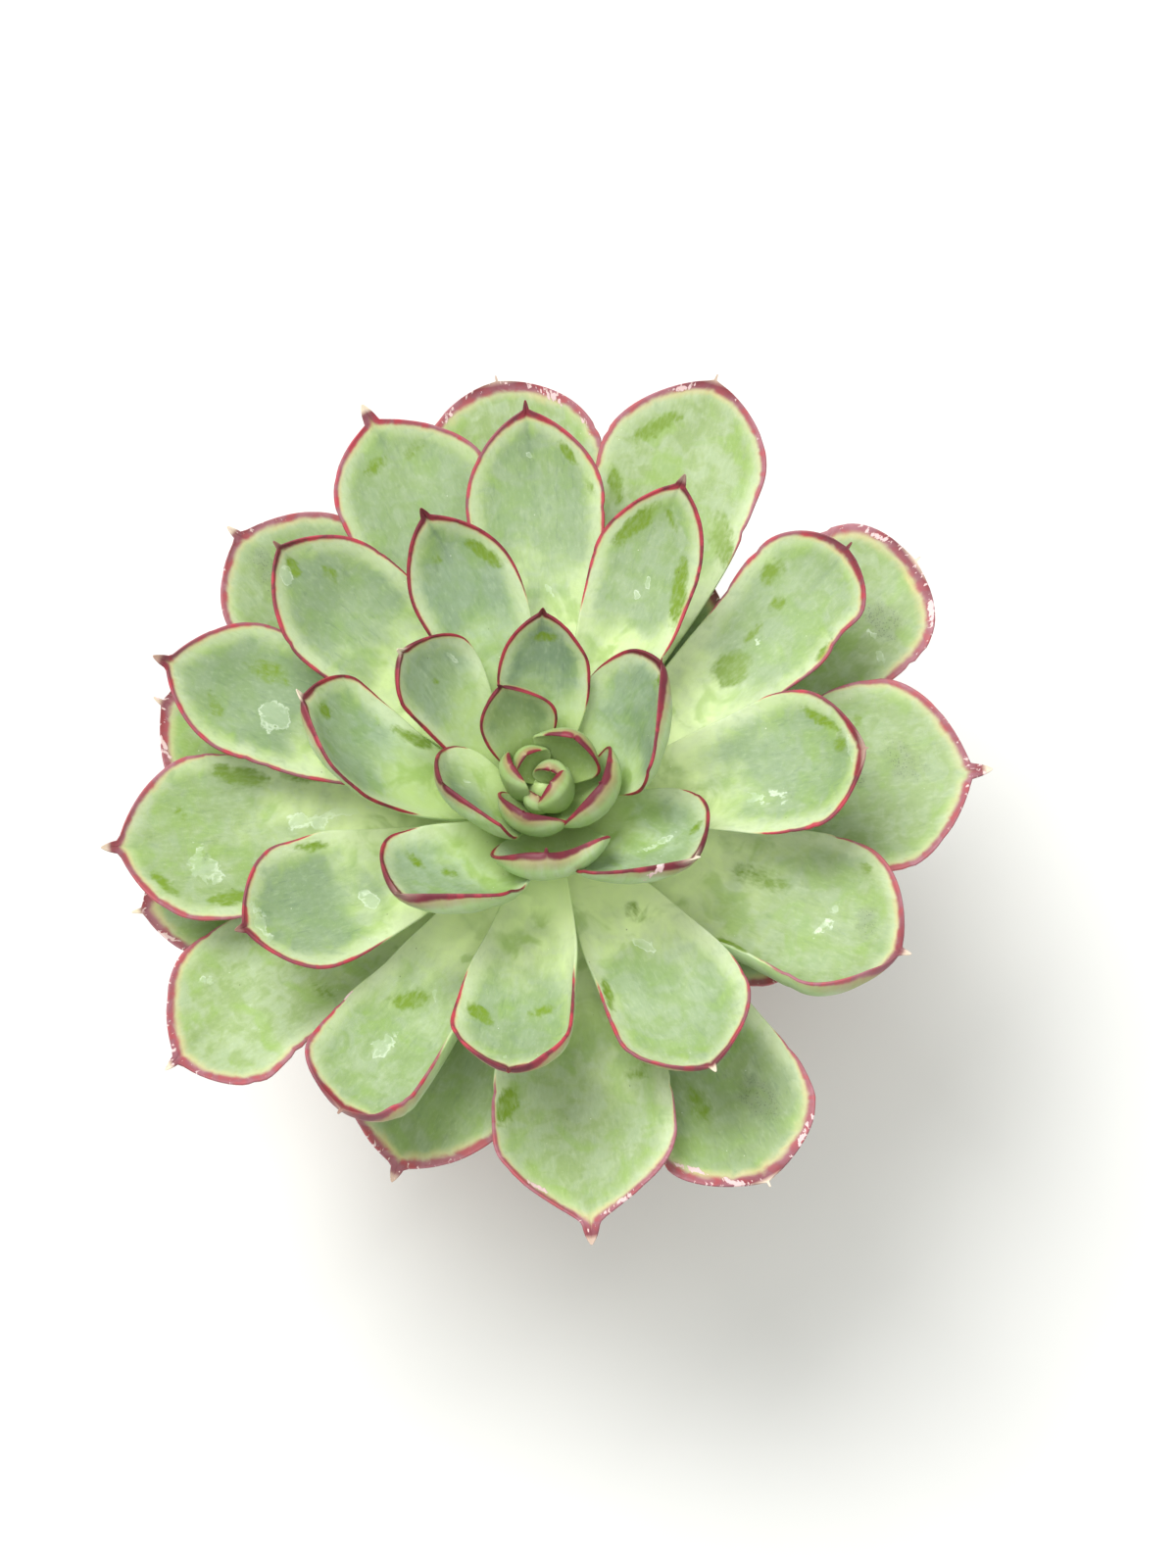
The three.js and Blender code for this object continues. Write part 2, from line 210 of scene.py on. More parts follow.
def turned(profile: list[Pair], sides: int) -> Skin:
    """A profile turned about the Z axis.

    Args:
        profile: radius and height of each point, from the axis and back to it.
        sides: how many steps there are in one turn.

    Returns:
        The closed surface.
    """
    inner = [p for p in profile if p[0] > 0]
    angles = np.arange(sides) * 2 * math.pi / sides
    rings = [np.column_stack([r * np.cos(angles), r * np.sin(angles), np.full(sides, z)]) for r, z in inner]
    ends = [np.array([[0, 0, profile[i][1]]]) for i in (0, -1)]
    faces = [(a, d, c, b) for a, b, c, d in tube(len(inner), sides)]
    low = len(inner) * sides
    top = low - sides
    for j in range(sides):
        k = (j + 1) % sides
        faces += [(low, k, j), (low + 1, top + j, top + k)]
    return Skin(np.concatenate([*rings, *ends]), faces)


def rounded(corners: list[Pair], radius: float, steps: int) -> list[Pair]:
    """A profile with its inner corners rounded.

    Args:
        corners: radius and height of each corner.
        radius: how far from a corner its curve starts.
        steps: how many pieces each curve has.

    Returns:
        The profile's points.
    """
    result = [corners[0]]
    for around in zip(corners, corners[1:], corners[2:]):
        a, b, c = (np.array(p, dtype=float) for p in around)
        sizes = [np.linalg.norm(a - b), np.linalg.norm(c - b)]
        reach = min(radius, 0.45 * sizes[0], 0.45 * sizes[1])
        p, q = (b + (end - b) / size * reach for end, size in zip((a, c), sizes))
        for t in np.arange(steps + 1) / steps:
            spot = (1 - t) ** 2 * p + 2 * t * (1 - t) * b + t * t * q
            result.append((float(spot[0]), float(spot[1])))
    return [*result, corners[-1]]


# Shader building


class Sketch:
    """Places and joins the nodes of one tree."""

    def __init__(self, tree: Tree) -> None:
        """Starts on a material's or a group's node tree."""
        self.tree = tree

    def feed(self, socket: Socket, value: object) -> None:
        """Joins an input to another node's output, or sets it to a number or a colour."""
        if isinstance(value, bpy.types.NodeSocket):
            self.tree.links.new(value, socket)
        else:
            socket.default_value = value

    def node(self, kind: str, settings: Settings | None = None, *first: object, **inputs: object) -> Node:
        """Places a node.

        Args:
            kind: the node's type, without its ShaderNode prefix.
            settings: its properties by name.
            first: its first inputs in their order.
            inputs: other inputs by name, with _ for a space.

        Returns:
            The node.
        """
        node = self.tree.nodes.new("ShaderNode" + kind)
        for name, value in (settings or {}).items():
            setattr(node, name, value)
        for name, value in [*enumerate(first), *((n.replace("_", " "), v) for n, v in inputs.items())]:
            self.feed(node.inputs[name], value)
        return node

    def mark(self, name: str, kind: str = "Fac") -> Socket:
        """One of the mesh's markings, a number, or a vector where the kind is Vector."""
        node = self.node("Attribute", {"attribute_type": "GEOMETRY", "attribute_name": name})
        return node.outputs[kind]

    def sum(self, operation: str, a: Value, b: Value) -> Socket:
        """One step of arithmetic on two numbers, such as ADD or SUBTRACT."""
        return self.node("Math", {"operation": operation}, a, b).outputs[0]

    def times(self, *values: Value) -> Socket:
        """The product of several masks."""
        return reduce(partial(self.sum, "MULTIPLY"), values)

    def plus(self, *values: Value) -> Socket:
        """The sum of several numbers."""
        return reduce(partial(self.sum, "ADD"), values)

    def stirred(self, value: Value, cloud: Socket, amount: Value) -> Socket:
        """A number that a cloud pushes up and down."""
        return self.plus(value, self.times(self.sum("SUBTRACT", cloud, 0.5), amount))

    def span(self, value: Value, low: Value, high: Value, start: Value = 0.0, end: Value = 1.0) -> Socket:
        """A smooth step from one range to another.

        Args:
            value: the number that is read.
            low: where the step starts.
            high: where it ends.
            start: the result below low.
            end: the result above high.

        Returns:
            The result.
        """
        given = {"Value": value, "From_Min": low, "From_Max": high, "To_Min": start, "To_Max": end}
        return self.node("MapRange", {"interpolation_type": "SMOOTHSTEP"}, **given).outputs["Result"]

    def blend(self, share: Value, a: Socket | Rgb, b: Socket | Rgb) -> Socket:
        """One colour over another, each a node's output or a display colour.

        Args:
            share: how much of b shows.
            a: the colour below.
            b: the colour above.

        Returns:
            The blended colour.
        """
        node = self.node("Mix", {"data_type": "RGBA"})
        for i, value in ((0, share), (6, a), (7, b)):
            self.feed(node.inputs[i], linear(value) if isinstance(value, tuple) else value)
        return node.outputs[2]

    def layers(self, colour: Socket | Rgb, *coats: tuple[Value, Socket | Rgb]) -> Socket:
        """Coats of colour laid over one another.

        Args:
            colour: the colour below them all.
            coats: how much of each coat shows, and its colour.

        Returns:
            The blended colour.
        """
        for share, coat in coats:
            colour = self.blend(share, colour, coat)
        return colour

    def noise(self, vector: Socket, scale: Value, detail: float, twist: float = 0.0) -> Socket:
        """Cloudy noise.

        Args:
            vector: where it is read.
            scale: how fine it is.
            detail: how many finer layers it has.
            twist: how much it swirls.

        Returns:
            A number round 0.5.
        """
        return self.node("TexNoise", Vector=vector, Scale=scale, Detail=detail, Distortion=twist).outputs[0]

    def stretched(self, vector: Socket, factors: Triple) -> Socket:
        """A vector with its three parts scaled, for a noise that is drawn out."""
        return self.node("VectorMath", {"operation": "MULTIPLY"}, vector, factors).outputs[0]

    def effect(self, effect: "Effect", **inputs: object) -> Socket:
        """The result of a shared effect with some of its inputs given."""
        return self.node("Group", {"node_tree": EFFECTS.of(effect)}, **inputs).outputs[0]

    def cover(self, shader: Node, colour: Socket, rough: Socket, **bump: Value) -> None:
        """Feeds a shader.

        Args:
            shader: the Principled shader.
            colour: its base colour.
            rough: its roughness.
            bump: the height of its bump, with its strength and distance.
        """
        normal = self.node("Bump", **bump).outputs[0]
        for name, value in (("Base Color", colour), ("Roughness", rough), ("Normal", normal)):
            self.feed(shader.inputs[name], value)


class Effect(Enum):
    """The effects that more than one material or layer uses."""

    PATCH = "ragged_patch"
    BAND = "wandering_band"
    SPECKS = "scattered_specks"
    GRAIN = "fine_grain"


class Effects:
    """Builds each shared effect once and hands it out."""

    def __init__(self) -> None:
        """Starts with no effect built."""
        self.built: dict[Effect, Tree] = {}

    def of(self, effect: Effect) -> Tree:
        """The node group of an effect, built when it is first asked for."""
        if effect not in self.built:
            makers = dict(zip(Effect, (self.patch, self.band, self.specks, self.grain)))
            self.built[effect] = makers[effect]()
        return self.built[effect]

    def start(self, effect: Effect, **inputs: float | None) -> tuple[Sketch, dict[str, Socket], Socket]:
        """Opens a new group.

        Args:
            effect: the effect that the group is for.
            inputs: its inputs, each with its usual number, or None where it is a vector.

        Returns:
            The sketch of the group, its inputs by name, and the socket that takes the result.
        """
        tree = bpy.data.node_groups.new(effect.value, "ShaderNodeTree")
        for name, usual in inputs.items():
            kind = "NodeSocketVector" if usual is None else "NodeSocketFloat"
            socket = tree.interface.new_socket(name=name, in_out="INPUT", socket_type=kind)
            if usual is not None:
                socket.default_value = usual
        tree.interface.new_socket(name="Result", in_out="OUTPUT", socket_type="NodeSocketFloat")
        given = tree.nodes.new("NodeGroupInput")
        result = tree.nodes.new("NodeGroupOutput")
        return Sketch(tree), {s.name: s for s in given.outputs if s.name}, result.inputs["Result"]

    def patch(self) -> Tree:
        """A soft mask and a cloud turned into a patch with a ragged border."""
        art, given, result = self.start(Effect.PATCH, Mask=0.0, Cloud=0.5, Ragged=0.9, Level=0.5, Soft=0.06)
        level = art.stirred(given["Mask"], given["Cloud"], given["Ragged"])
        low, high = (art.sum(way, given["Level"], given["Soft"]) for way in ("SUBTRACT", "ADD"))
        art.feed(result, art.times(art.span(level, low, high), art.span(given["Mask"], 0.02, 0.2)))
        return art.tree

    def band(self) -> Tree:
        """A band along a margin, whose inner border wanders with a cloud."""
        art, given, result = self.start(Effect.BAND, Distance=0.0, Cloud=0.5, From=0.5, To=1.5, Wander=0.6)
        distance = art.stirred(given["Distance"], given["Cloud"], given["Wander"])
        art.feed(result, art.span(distance, given["From"], given["To"], 1.0, 0.0))
        return art.tree

    def specks(self) -> Tree:
        """Small irregular specks, of which only some places have one."""
        art, given, result = self.start(Effect.SPECKS, Place=None, Scale=20.0, Size=0.2, Amount=0.2)
        cells = art.node("TexVoronoi", Vector=given["Place"], Scale=given["Scale"])
        split = art.node("SeparateColor", None, cells.outputs["Color"])
        chosen = art.sum("LESS_THAN", split.outputs[0], given["Amount"])
        size = art.times(given["Size"], art.plus(split.outputs[1], 0.4))
        dot = art.span(cells.outputs["Distance"], art.times(size, 0.5), size, 1.0, 0.0)
        art.feed(result, art.times(dot, chosen))
        return art.tree

    def grain(self) -> Tree:
        """A fine grain of two sizes for a bump."""
        art, given, result = self.start(Effect.GRAIN, Place=None, Coarse=12.0, Fine=60.0, Share=0.4)
        coarse = art.noise(given["Place"], given["Coarse"], 3.0)
        fine = art.noise(given["Place"], given["Fine"], 1.0)
        art.feed(result, art.plus(coarse, art.times(fine, given["Share"])))
        return art.tree


EFFECTS = Effects()


@dataclass(frozen=True)
class Finish:
    """What one kind of surface looks like."""

    name: str  # the material's name, which also keys the leaf finishes

    def material(self) -> Material:
        """The finish as a material."""
        material, art, shader = self.blank()
        self.paint(art, shader)
        return material

    def blank(self) -> tuple[Material, Sketch, Node]:
        """A material with one Principled shader and nothing on it.

        Returns:
            The material, its sketch and its shader.
        """
        material = bpy.data.materials.new(self.name)
        material.use_nodes = True
        material.node_tree.nodes.clear()
        art = Sketch(material.node_tree)
        shader = art.node("BsdfPrincipled")
        art.node("OutputMaterial", Surface=shader.outputs[0])
        return material, art, shader

    def paint(self, art: Sketch, shader: Node) -> None:
        """Lays the finish on a material's shader."""
        raise NotImplementedError


@dataclass(frozen=True)
class Ground:
    """What every layer of a leaf's finish reads."""

    place: Socket  # the place on the blade, in centimetres
    rim: Socket  # the distance from the margin, in millimetres on a large leaf and less on a small one
    edge: Socket  # that distance in widths of the red margin there
    along: Socket  # the share of the way from foot to point
    upper: Socket  # 1 on the face, 0 on the back
    broad: Socket  # clouds as wide as a thumb
    small: Socket  # clouds a few millimetres wide
    fine: Socket  # mottling below a millimetre
    streak: Socket  # clouds drawn out along the blade


@dataclass(frozen=True)
class LeafFinish(Finish):
    """Waxy flesh under a blue-green bloom, with a pale border and a red margin."""

    flesh: Rgb = (143, 166, 106)  # the face where the bloom is thin
    base: Rgb = (230, 246, 180)  # the pale foot of the blade, brightened further as painted light where the feet lie in shade
    veil: Rgb = (190, 201, 174)  # the pale powder of the bloom
    deep: Rgb = (118, 139, 108)  # the dark glaucous middle of the blade
    streaks: Rgb = (86, 108, 88)  # the thin dark lines in that middle, and the painted shade in the crease near the point
    border: Rgb = (206, 216, 180)  # the pale band inside the margin
    glow: Rgb = (214, 178, 118)  # the yellow line between border and margin
    margin: Rgb = (176, 58, 72)  # the red of the margin
    dark: Rgb = (108, 34, 46)  # the darker red of parts of it
    mauve: Rgb = (168, 112, 122)  # the dusty margin of an ageing leaf
    point: Rgb = (96, 34, 46)  # the colour of the point
    fresh: Rgb = (130, 154, 80)  # the green of the leaves that are still closed, darkened further as painted shade of the nested heart
    lush: Rgb = (140, 172, 76)  # the vivid green between the clouds of the bloom
    dim: Rgb = (112, 144, 82)  # the dull green of some clouds
    dusk: Rgb = (106, 132, 78)  # the darker mottling
    light: Rgb = (220, 234, 200)  # the paler mottling
    back: Rgb = (170, 196, 136)  # the underside
    shade: Rgb = (118, 146, 88)  # the mottling of the underside
    rubbed: Rgb = (112, 140, 40)  # the face bare of its bloom, also painted shade on a few shaded patches
    film: Rgb = (208, 226, 196)  # the dried water marks, on a few glossy spots a painted highlight
    line: Rgb = (232, 242, 222)  # the pale border of those marks
    soot: Rgb = (72, 80, 62)  # the grey speckling
    fleck: Rgb = (238, 243, 226)  # the stray pale flecks
    dot: Rgb = (84, 84, 56)  # the stray dark ones
    withered: Rgb = (222, 206, 184)  # the dried end of the point
    dry: Rgb = (222, 192, 192)  # the dried skin on the margin, on a few shiny margins a painted highlight
    roughness: float = 0.5  # how matt the bloom is

    def paint(self, art: Sketch, shader: Node) -> None:
        """Lays the finish on a shader.

        Args:
            art: the material's sketch.
            shader: its Principled shader.
        """
        place = art.mark("blade", "Vector")
        ground = Ground(
            place=place,
            **{name: art.mark(name) for name in ("rim", "edge", "along", "upper")},
            broad=art.noise(place, 1.1, 3.0, 0.3),
            small=art.noise(place, 3.6, 5.0, 0.5),
            fine=art.noise(art.stretched(place, (18.0, 8.0, 12.0)), 1.0, 4.0, 0.3),
            streak=art.noise(art.stretched(place, (5.2, 1.5, 1.0)), 1.0, 4.0, 0.4),
        )
        colour = art.blend(ground.upper, self.underside(art, ground), self.face(art, ground))
        colour, rub_and_shade, film = self.wear_and_painted_light(art, ground, colour)
        # Dried skin on the margins; a few of these marks are painted highlights.
        dry = {"Mask": art.mark("dry"), "Cloud": ground.fine}
        dry = art.effect(Effect.PATCH, **dry, Ragged=2.2, Level=0.66, Soft=0.07)
        colour = self.edging(art, ground, colour, dry)
        rough = art.span(ground.small, 0.3, 0.7, self.roughness - 0.05, self.roughness + 0.07)
        for mask, drop in ((rub_and_shade, 0.1), (film, 0.14), (dry, 0.16)):
            rough = art.sum("SUBTRACT", rough, art.times(mask, drop))
        grain = art.effect(Effect.GRAIN, Place=place, Coarse=9.0, Fine=70.0)
        height = art.plus(art.times(grain, 0.5), art.times(dry, 0.7), art.times(film, 0.25))
        art.cover(shader, colour, rough, Height=height, Strength=0.6, Distance=0.00013)
        shader.inputs["Subsurface Weight"].default_value = 0.1
        shader.inputs["Subsurface Radius"].default_value = (1.0, 0.9, 0.35)
        shader.inputs["Subsurface Scale"].default_value = 0.0015
        shader.inputs["IOR"].default_value = 1.42

    def face(self, art: Sketch, ground: Ground) -> Socket:
        """The upper face without its red margin.

        Args:
            art: the material's sketch.
            ground: what the layer reads.

        Returns:
            The colour.
        """
        small, fine, margins = ground.small, ground.fine, ground.rim
        rising = art.stirred(ground.along, ground.broad, 0.4)
        powder = art.plus(art.times(ground.streak, 0.25), art.times(small, 0.75))
        powder = art.times(art.span(powder, 0.38, 0.66, 0.0, 0.55), art.span(rising, 0.25, 0.6, 0.15, 1.0))
        bare = art.span(art.noise(ground.place, 1.5, 3.0, 0.8), 0.48, 0.64)
        inside = art.span(art.stirred(margins, small, 5.0), 1.3, 4.4)
        middle = art.times(inside, art.span(rising, 0.42, 0.66), art.mark("deep"))
        thick = art.span(art.plus(ground.broad, art.times(small, 0.5)), 0.5, 0.95, 0.5, 1.0)
        thin = art.noise(art.stretched(ground.place, (9.0, 2.0, 1.0)), 1.6, 3.0, 0.6)
        band = art.effect(Effect.BAND, Distance=margins, Cloud=small, From=0.7, To=3.4, Wander=2.6)
        return art.layers(
            # The pale foot under the flesh is brightened as painted light, for the feet lie in shade.
            self.base,
            (art.span(rising, 0.24, 0.68), self.flesh),
            (powder, self.veil),
            (art.times(bare, art.span(rising, 0.2, 0.42), 0.55), self.lush),
            (art.times(middle, thick), self.deep),
            (art.times(middle, art.span(thin, 0.56, 0.72, 0.0, 0.34)), self.streaks),
            # Painted shade darkens the crease near the point.
            (art.times(art.mark("crease"), art.span(small, 0.35, 0.6, 0.3, 1.0)), self.streaks),
            (art.times(band, art.span(ground.along, 0.2, 0.6, 0.0, 0.5)), self.border),
            # The youngest leaves go darker green, partly their own colour and partly painted shade of the
            # nested heart.
            (art.times(art.mark("fresh"), 0.8), self.fresh),
            (art.times(art.span(small, 0.5, 0.74, 0.0, 0.22), art.span(rising, 0.35, 0.65)), self.dim),
            (art.times(art.span(fine, 0.5, 0.8, 0.0, 0.2), art.span(rising, 0.3, 0.6)), self.dusk),
            (art.span(fine, 0.5, 0.22, 0.0, 0.1), self.light),
        )

    def underside(self, art: Sketch, ground: Ground) -> Socket:
        """The back of the blade: paler, smooth, blushed near its point.

        Args:
            art: the material's sketch.
            ground: what the layer reads.

        Returns:
            The colour.
        """
        band = art.effect(Effect.BAND, Distance=ground.edge, Cloud=ground.small, From=1.0, To=5.5, Wander=3.0)
        blush = mixed(self.margin, self.fresh, 0.4)
        return art.layers(
            self.back,
            (art.span(ground.streak, 0.4, 0.68, 0.0, 0.5), self.veil),
            (art.span(ground.fine, 0.5, 0.8, 0.0, 0.22), self.shade),
            # The youngest leaves' backs go darker green, partly their own colour and partly painted shade of
            # the nested heart.
            (art.times(art.mark("fresh"), 0.6), self.fresh),
            (art.times(band, art.span(ground.along, 0.6, 1.0, 0.0, 0.6)), blush),
        )

    def wear_and_painted_light(self, art: Sketch, ground: Ground, colour: Socket) -> tuple[Socket, Socket, Socket]:
        """Places bare of bloom, dried water marks, grey speckling and stray flecks, a few bare places painted
        shade and a few water marks painted highlights.

        Args:
            art: the material's sketch.
            ground: what the layer reads.
            colour: the clean colour.

        Returns:
            The colour with its marks and painted light, and the masks of the bare and the water-marked
            places.
        """
        upper = ground.upper
        cloud = art.plus(art.times(ground.small, 0.75), art.times(ground.fine, 0.25))
        marks = {name: {"Mask": art.mark(name), "Cloud": cloud} for name in ("rubbed", "film", "soot")}
        # Patches where the bloom is gone; a few of them are painted shade.
        rub_and_shade = art.effect(Effect.PATCH, **marks["rubbed"], Ragged=1.8, Level=0.3, Soft=0.32)
        rub_and_shade = art.times(rub_and_shade, upper, art.span(ground.fine, 0.3, 0.65, 0.7, 1.0))
        # Dried water marks; a few of them are painted highlights.
        film = art.times(art.effect(Effect.PATCH, **marks["film"], Ragged=2.0, Level=0.42, Soft=0.05), upper)
        inner = art.effect(Effect.PATCH, **marks["film"], Ragged=2.0, Level=0.54, Soft=0.08)
        line = art.times(film, art.sum("SUBTRACT", 1.0, inner), art.span(ground.streak, 0.42, 0.6))
        soot = art.effect(Effect.SPECKS, Place=ground.place, Scale=34.0, Size=0.42, Amount=0.6)
        veil = art.effect(Effect.PATCH, **marks["soot"], Ragged=1.4, Level=0.42, Soft=0.3)
        fleck = art.effect(Effect.SPECKS, Place=ground.place, Scale=5.5, Size=0.05, Amount=0.34)
        place = art.stretched(ground.place, (1.0, 0.8, 1.3))
        dot = art.effect(Effect.SPECKS, Place=place, Scale=4.6, Size=0.05, Amount=0.3)
        colour = art.layers(
            colour,
            (rub_and_shade, self.rubbed),
            (art.times(film, 0.2), self.film),
            (art.times(line, 0.36), self.line),
            (art.times(veil, upper, art.plus(art.times(soot, 0.42), 0.2)), self.soot),
            (art.times(fleck, 0.55), self.fleck),
            (art.times(dot, 0.6), self.dot),
        )
        return colour, rub_and_shade, film

    def edging(self, art: Sketch, ground: Ground, colour: Socket, dry: Socket) -> Socket:
        """The red margin with its yellow line, the dark point and the dried skin on them, a few spots of it
        painted highlights.

        Args:
            art: the material's sketch.
            ground: what the layer reads.
            colour: the colour below.
            dry: the mask of dried skin, in places painted highlights.

        Returns:
            The colour.
        """
        small = ground.small
        border = {"Distance": ground.edge, "Cloud": small}
        line = art.effect(Effect.BAND, **border, From=1.0, To=2.1, Wander=1.4)
        red = art.effect(Effect.BAND, **border, From=0.55, To=1.3, Wander=1.1)
        bright = art.plus(0.1, art.times(ground.upper, 0.3))
        deepness = art.mark("deepness")
        tone = art.layers(
            self.margin,
            (art.span(small, 0.38, 0.62), self.dark),
            (art.times(art.mark("mauve"), art.span(small, 0.36, 0.62, 0.1, 0.9)), self.mauve),
            (deepness, self.point),
        )
        return art.layers(
            colour,
            (art.times(line, bright, art.span(ground.broad, 0.36, 0.62, 0.4, 1.0)), self.glow),
            (red, tone),
            (art.span(deepness, 0.84, 0.95, 0.0, 0.75), self.point),
            (art.mark("pale_point"), self.withered),
            (dry, self.dry),
        )


@dataclass(frozen=True)
class ClayFinish(Finish):
    """Unglazed clay with a limy bloom and darker damp clouds."""

    name: str = "terracotta"
    clay: Rgb = (184, 104, 70)
    dark: Rgb = (150, 78, 50)
    pore: Rgb = (90, 46, 30)
    lime: Rgb = (214, 176, 150)

    def paint(self, art: Sketch, shader: Node) -> None:
        """Lays the finish on a shader.

        Args:
            art: the material's sketch.
            shader: its Principled shader.
        """
        place = art.mark("place", "Vector")
        small = art.noise(place, 2.4, 5.0)
        lime = art.effect(Effect.PATCH, Mask=art.mark("lime"), Cloud=small, Ragged=1.3, Level=0.6, Soft=0.22)
        pores = art.effect(Effect.SPECKS, Place=place, Scale=9.0, Size=0.16, Amount=0.3)
        colour = art.layers(
            self.clay,
            (art.span(art.noise(place, 0.35, 5.0, 0.4), 0.35, 0.68), self.dark),
            (art.span(small, 0.4, 0.75, 0.0, 0.4), mixed(self.clay, self.lime, 0.5)),
            (art.times(lime, 0.5), self.lime),
            (art.times(pores, 0.35), self.pore),
        )
        grain = art.effect(Effect.GRAIN, Place=place, Coarse=6.0, Fine=34.0, Share=0.6)
        height = art.sum("SUBTRACT", grain, art.times(pores, 0.8))
        rough = art.span(small, 0.3, 0.7, 0.78, 0.94)
        art.cover(shader, colour, rough, Height=height, Strength=0.6, Distance=0.0002)


@dataclass(frozen=True)
class SoilFinish(Finish):
    """Dark potting mix with bark and pale grit, told apart by the grains' own marking."""

    name: str = "soil"
    earth: Rgb = (66, 50, 38)
    bark: Rgb = (104, 74, 48)
    grit: Rgb = (206, 200, 186)
    damp: Rgb = (40, 30, 22)

    def paint(self, art: Sketch, shader: Node) -> None:
        """Lays the finish on a shader.

        Args:
            art: the material's sketch.
            shader: its Principled shader.
        """
        place = art.mark("place", "Vector")
        kind = art.mark("kind")
        small = art.noise(place, 5.0, 5.0)
        colour = art.layers(
            self.earth,
            (art.span(small, 0.35, 0.7), mixed(self.earth, self.bark, 0.5)),
            (art.span(kind, 0.4, 0.5), self.bark),
            (art.span(kind, 0.9, 0.95), self.grit),
            (art.span(art.noise(place, 22.0, 3.0), 0.5, 0.8, 0.0, 0.5), self.damp),
        )
        grain = art.effect(Effect.GRAIN, Place=place, Coarse=10.0, Fine=45.0, Share=0.7)
        rough = art.span(small, 0.3, 0.7, 0.84, 0.98)
        art.cover(shader, colour, rough, Height=grain, Strength=0.9, Distance=0.0004)


@dataclass(frozen=True)
class StemFinish(Finish):
    """Firm green bark with pale scars where leaves have stood."""

    name: str = "stem"
    bark: Rgb = (146, 152, 96)
    brown: Rgb = (122, 102, 70)
    scar: Rgb = (190, 182, 142)

    def paint(self, art: Sketch, shader: Node) -> None:
        """Lays the finish on a shader.

        Args:
            art: the material's sketch.
            shader: its Principled shader.
        """
        place = art.mark("place", "Vector")
        small = art.noise(place, 3.0, 5.0, 0.5)
        brown, scar = art.span(small, 0.35, 0.66), art.times(art.mark("scar"), 0.8)
        colour = art.layers(self.bark, (brown, self.brown), (scar, self.scar))
        grain = art.effect(Effect.GRAIN, Place=place, Coarse=8.0, Fine=40.0, Share=0.5)
        rough = art.span(small, 0.3, 0.7, 0.6, 0.8)
        art.cover(shader, colour, rough, Height=grain, Strength=0.7, Distance=0.0003)


# The plant's own rules and its leaves


@dataclass(frozen=True)
class Growth:
    """How the stem stands and where on it each leaf grows."""

    soil: float = 66  # the height of the soil
    lowest: float = 76  # the height of the oldest leaf
    rise: float = 0.7  # how far each leaf stands above the one before
    turn: float = 138.14  # how far round the stem the next leaf is
    phase: float = 82  # the azimuth of the leaf of age 0 at the stem
    oldest: int = 21  # the age of the oldest leaf
    full_grown: int = 8  # the age from which a leaf reaches as far as it ever will
    youngest: int = -23  # the age at the growing point
    longest: float = 72  # how far out from the stem the point of a full-grown leaf lies
    radius: float = 7.5  # the stem's radius below the leaves
    tip_radius: float = 1.9  # its radius at the growing point
    lean: Pair = (3, -7)  # how far the growing point stands from the pot's middle

    def youth(self, age: int) -> float:
        """0 for the oldest leaf, 1 at the growing point."""
        return (self.oldest - age) / (self.oldest - self.youngest)

    def reach(self, age: int) -> float:
        """How far out from the stem the point of a leaf of some age lies."""
        return self.longest * float(ease(age, self.youngest, self.full_grown))

    def azimuth(self, age: int) -> float:
        """The azimuth at which the leaf of an age stands."""
        return self.phase - self.turn * age

    def height(self, age: int) -> float:
        """The height at which the leaf of an age stands."""
        return self.lowest + (self.oldest - age) * self.rise

    def stem_radius(self, height: float) -> float:
        """The stem's radius at a height."""
        along = (height - self.lowest) / (self.height(self.youngest) - self.lowest)
        return mix(self.radius, self.tip_radius, min(1, max(0, along)) ** 1.5)

    def axis(self, height: float) -> Array:
        """The middle of the leaning stem at a height."""
        share = max(0, (height - self.soil) / (self.height(self.youngest) - self.soil))
        return np.array([self.lean[0] * share, self.lean[1] * share, height])


GROWTH = Growth()


class MarkCause(Enum):
    """What a mark on a leaf is: mostly use and age, with some marks painted shade and some painted
    highlights.
    """

    RUBBED = "rubbed"
    FILM = "film"
    SOOT = "soot"
    DRY = "dry"


@dataclass(frozen=True)
class Mark:
    """One oval mark on a leaf's face."""

    cause: MarkCause  # what it is
    along: float  # its place from the foot, 0, to the point, 1
    across: float  # its place from the clockwise margin, -1, to the other, 1
    length: float  # its half length in millimetres
    width: float  # its half width in millimetres
    turn: float = 0.0  # how far it is turned from the blade's length
    strength: float = 1.0  # how plain it is, from 0 to 1


RUBBED, FILM, SOOT, DRY = (partial(Mark, cause) for cause in MarkCause)


@dataclass(frozen=True)
class Trait:
    """The finer traits of one leaf."""

    spine: float = 0.5  # how long and strong its point is, from 0 to 1
    dried: float = 0.0  # how pale and dry the end of its point is
    deep: float = 0.4  # how dark the glaucous middle of its face is
    red: Pair = (0.5, 0.5)  # where along its clockwise and its other margin the red starts
    crease: float = 0.1  # how strong the crease near its point is, and how dark its painted shade
    lift: Pair = (0.0, 0.0)  # how many more degrees the clockwise and the other margin roll up
    wave: float = 0.2  # how much its margins wander, in millimetres
    marks: tuple[Mark, ...] = ()  # its marks, among them some painted shade and painted highlights
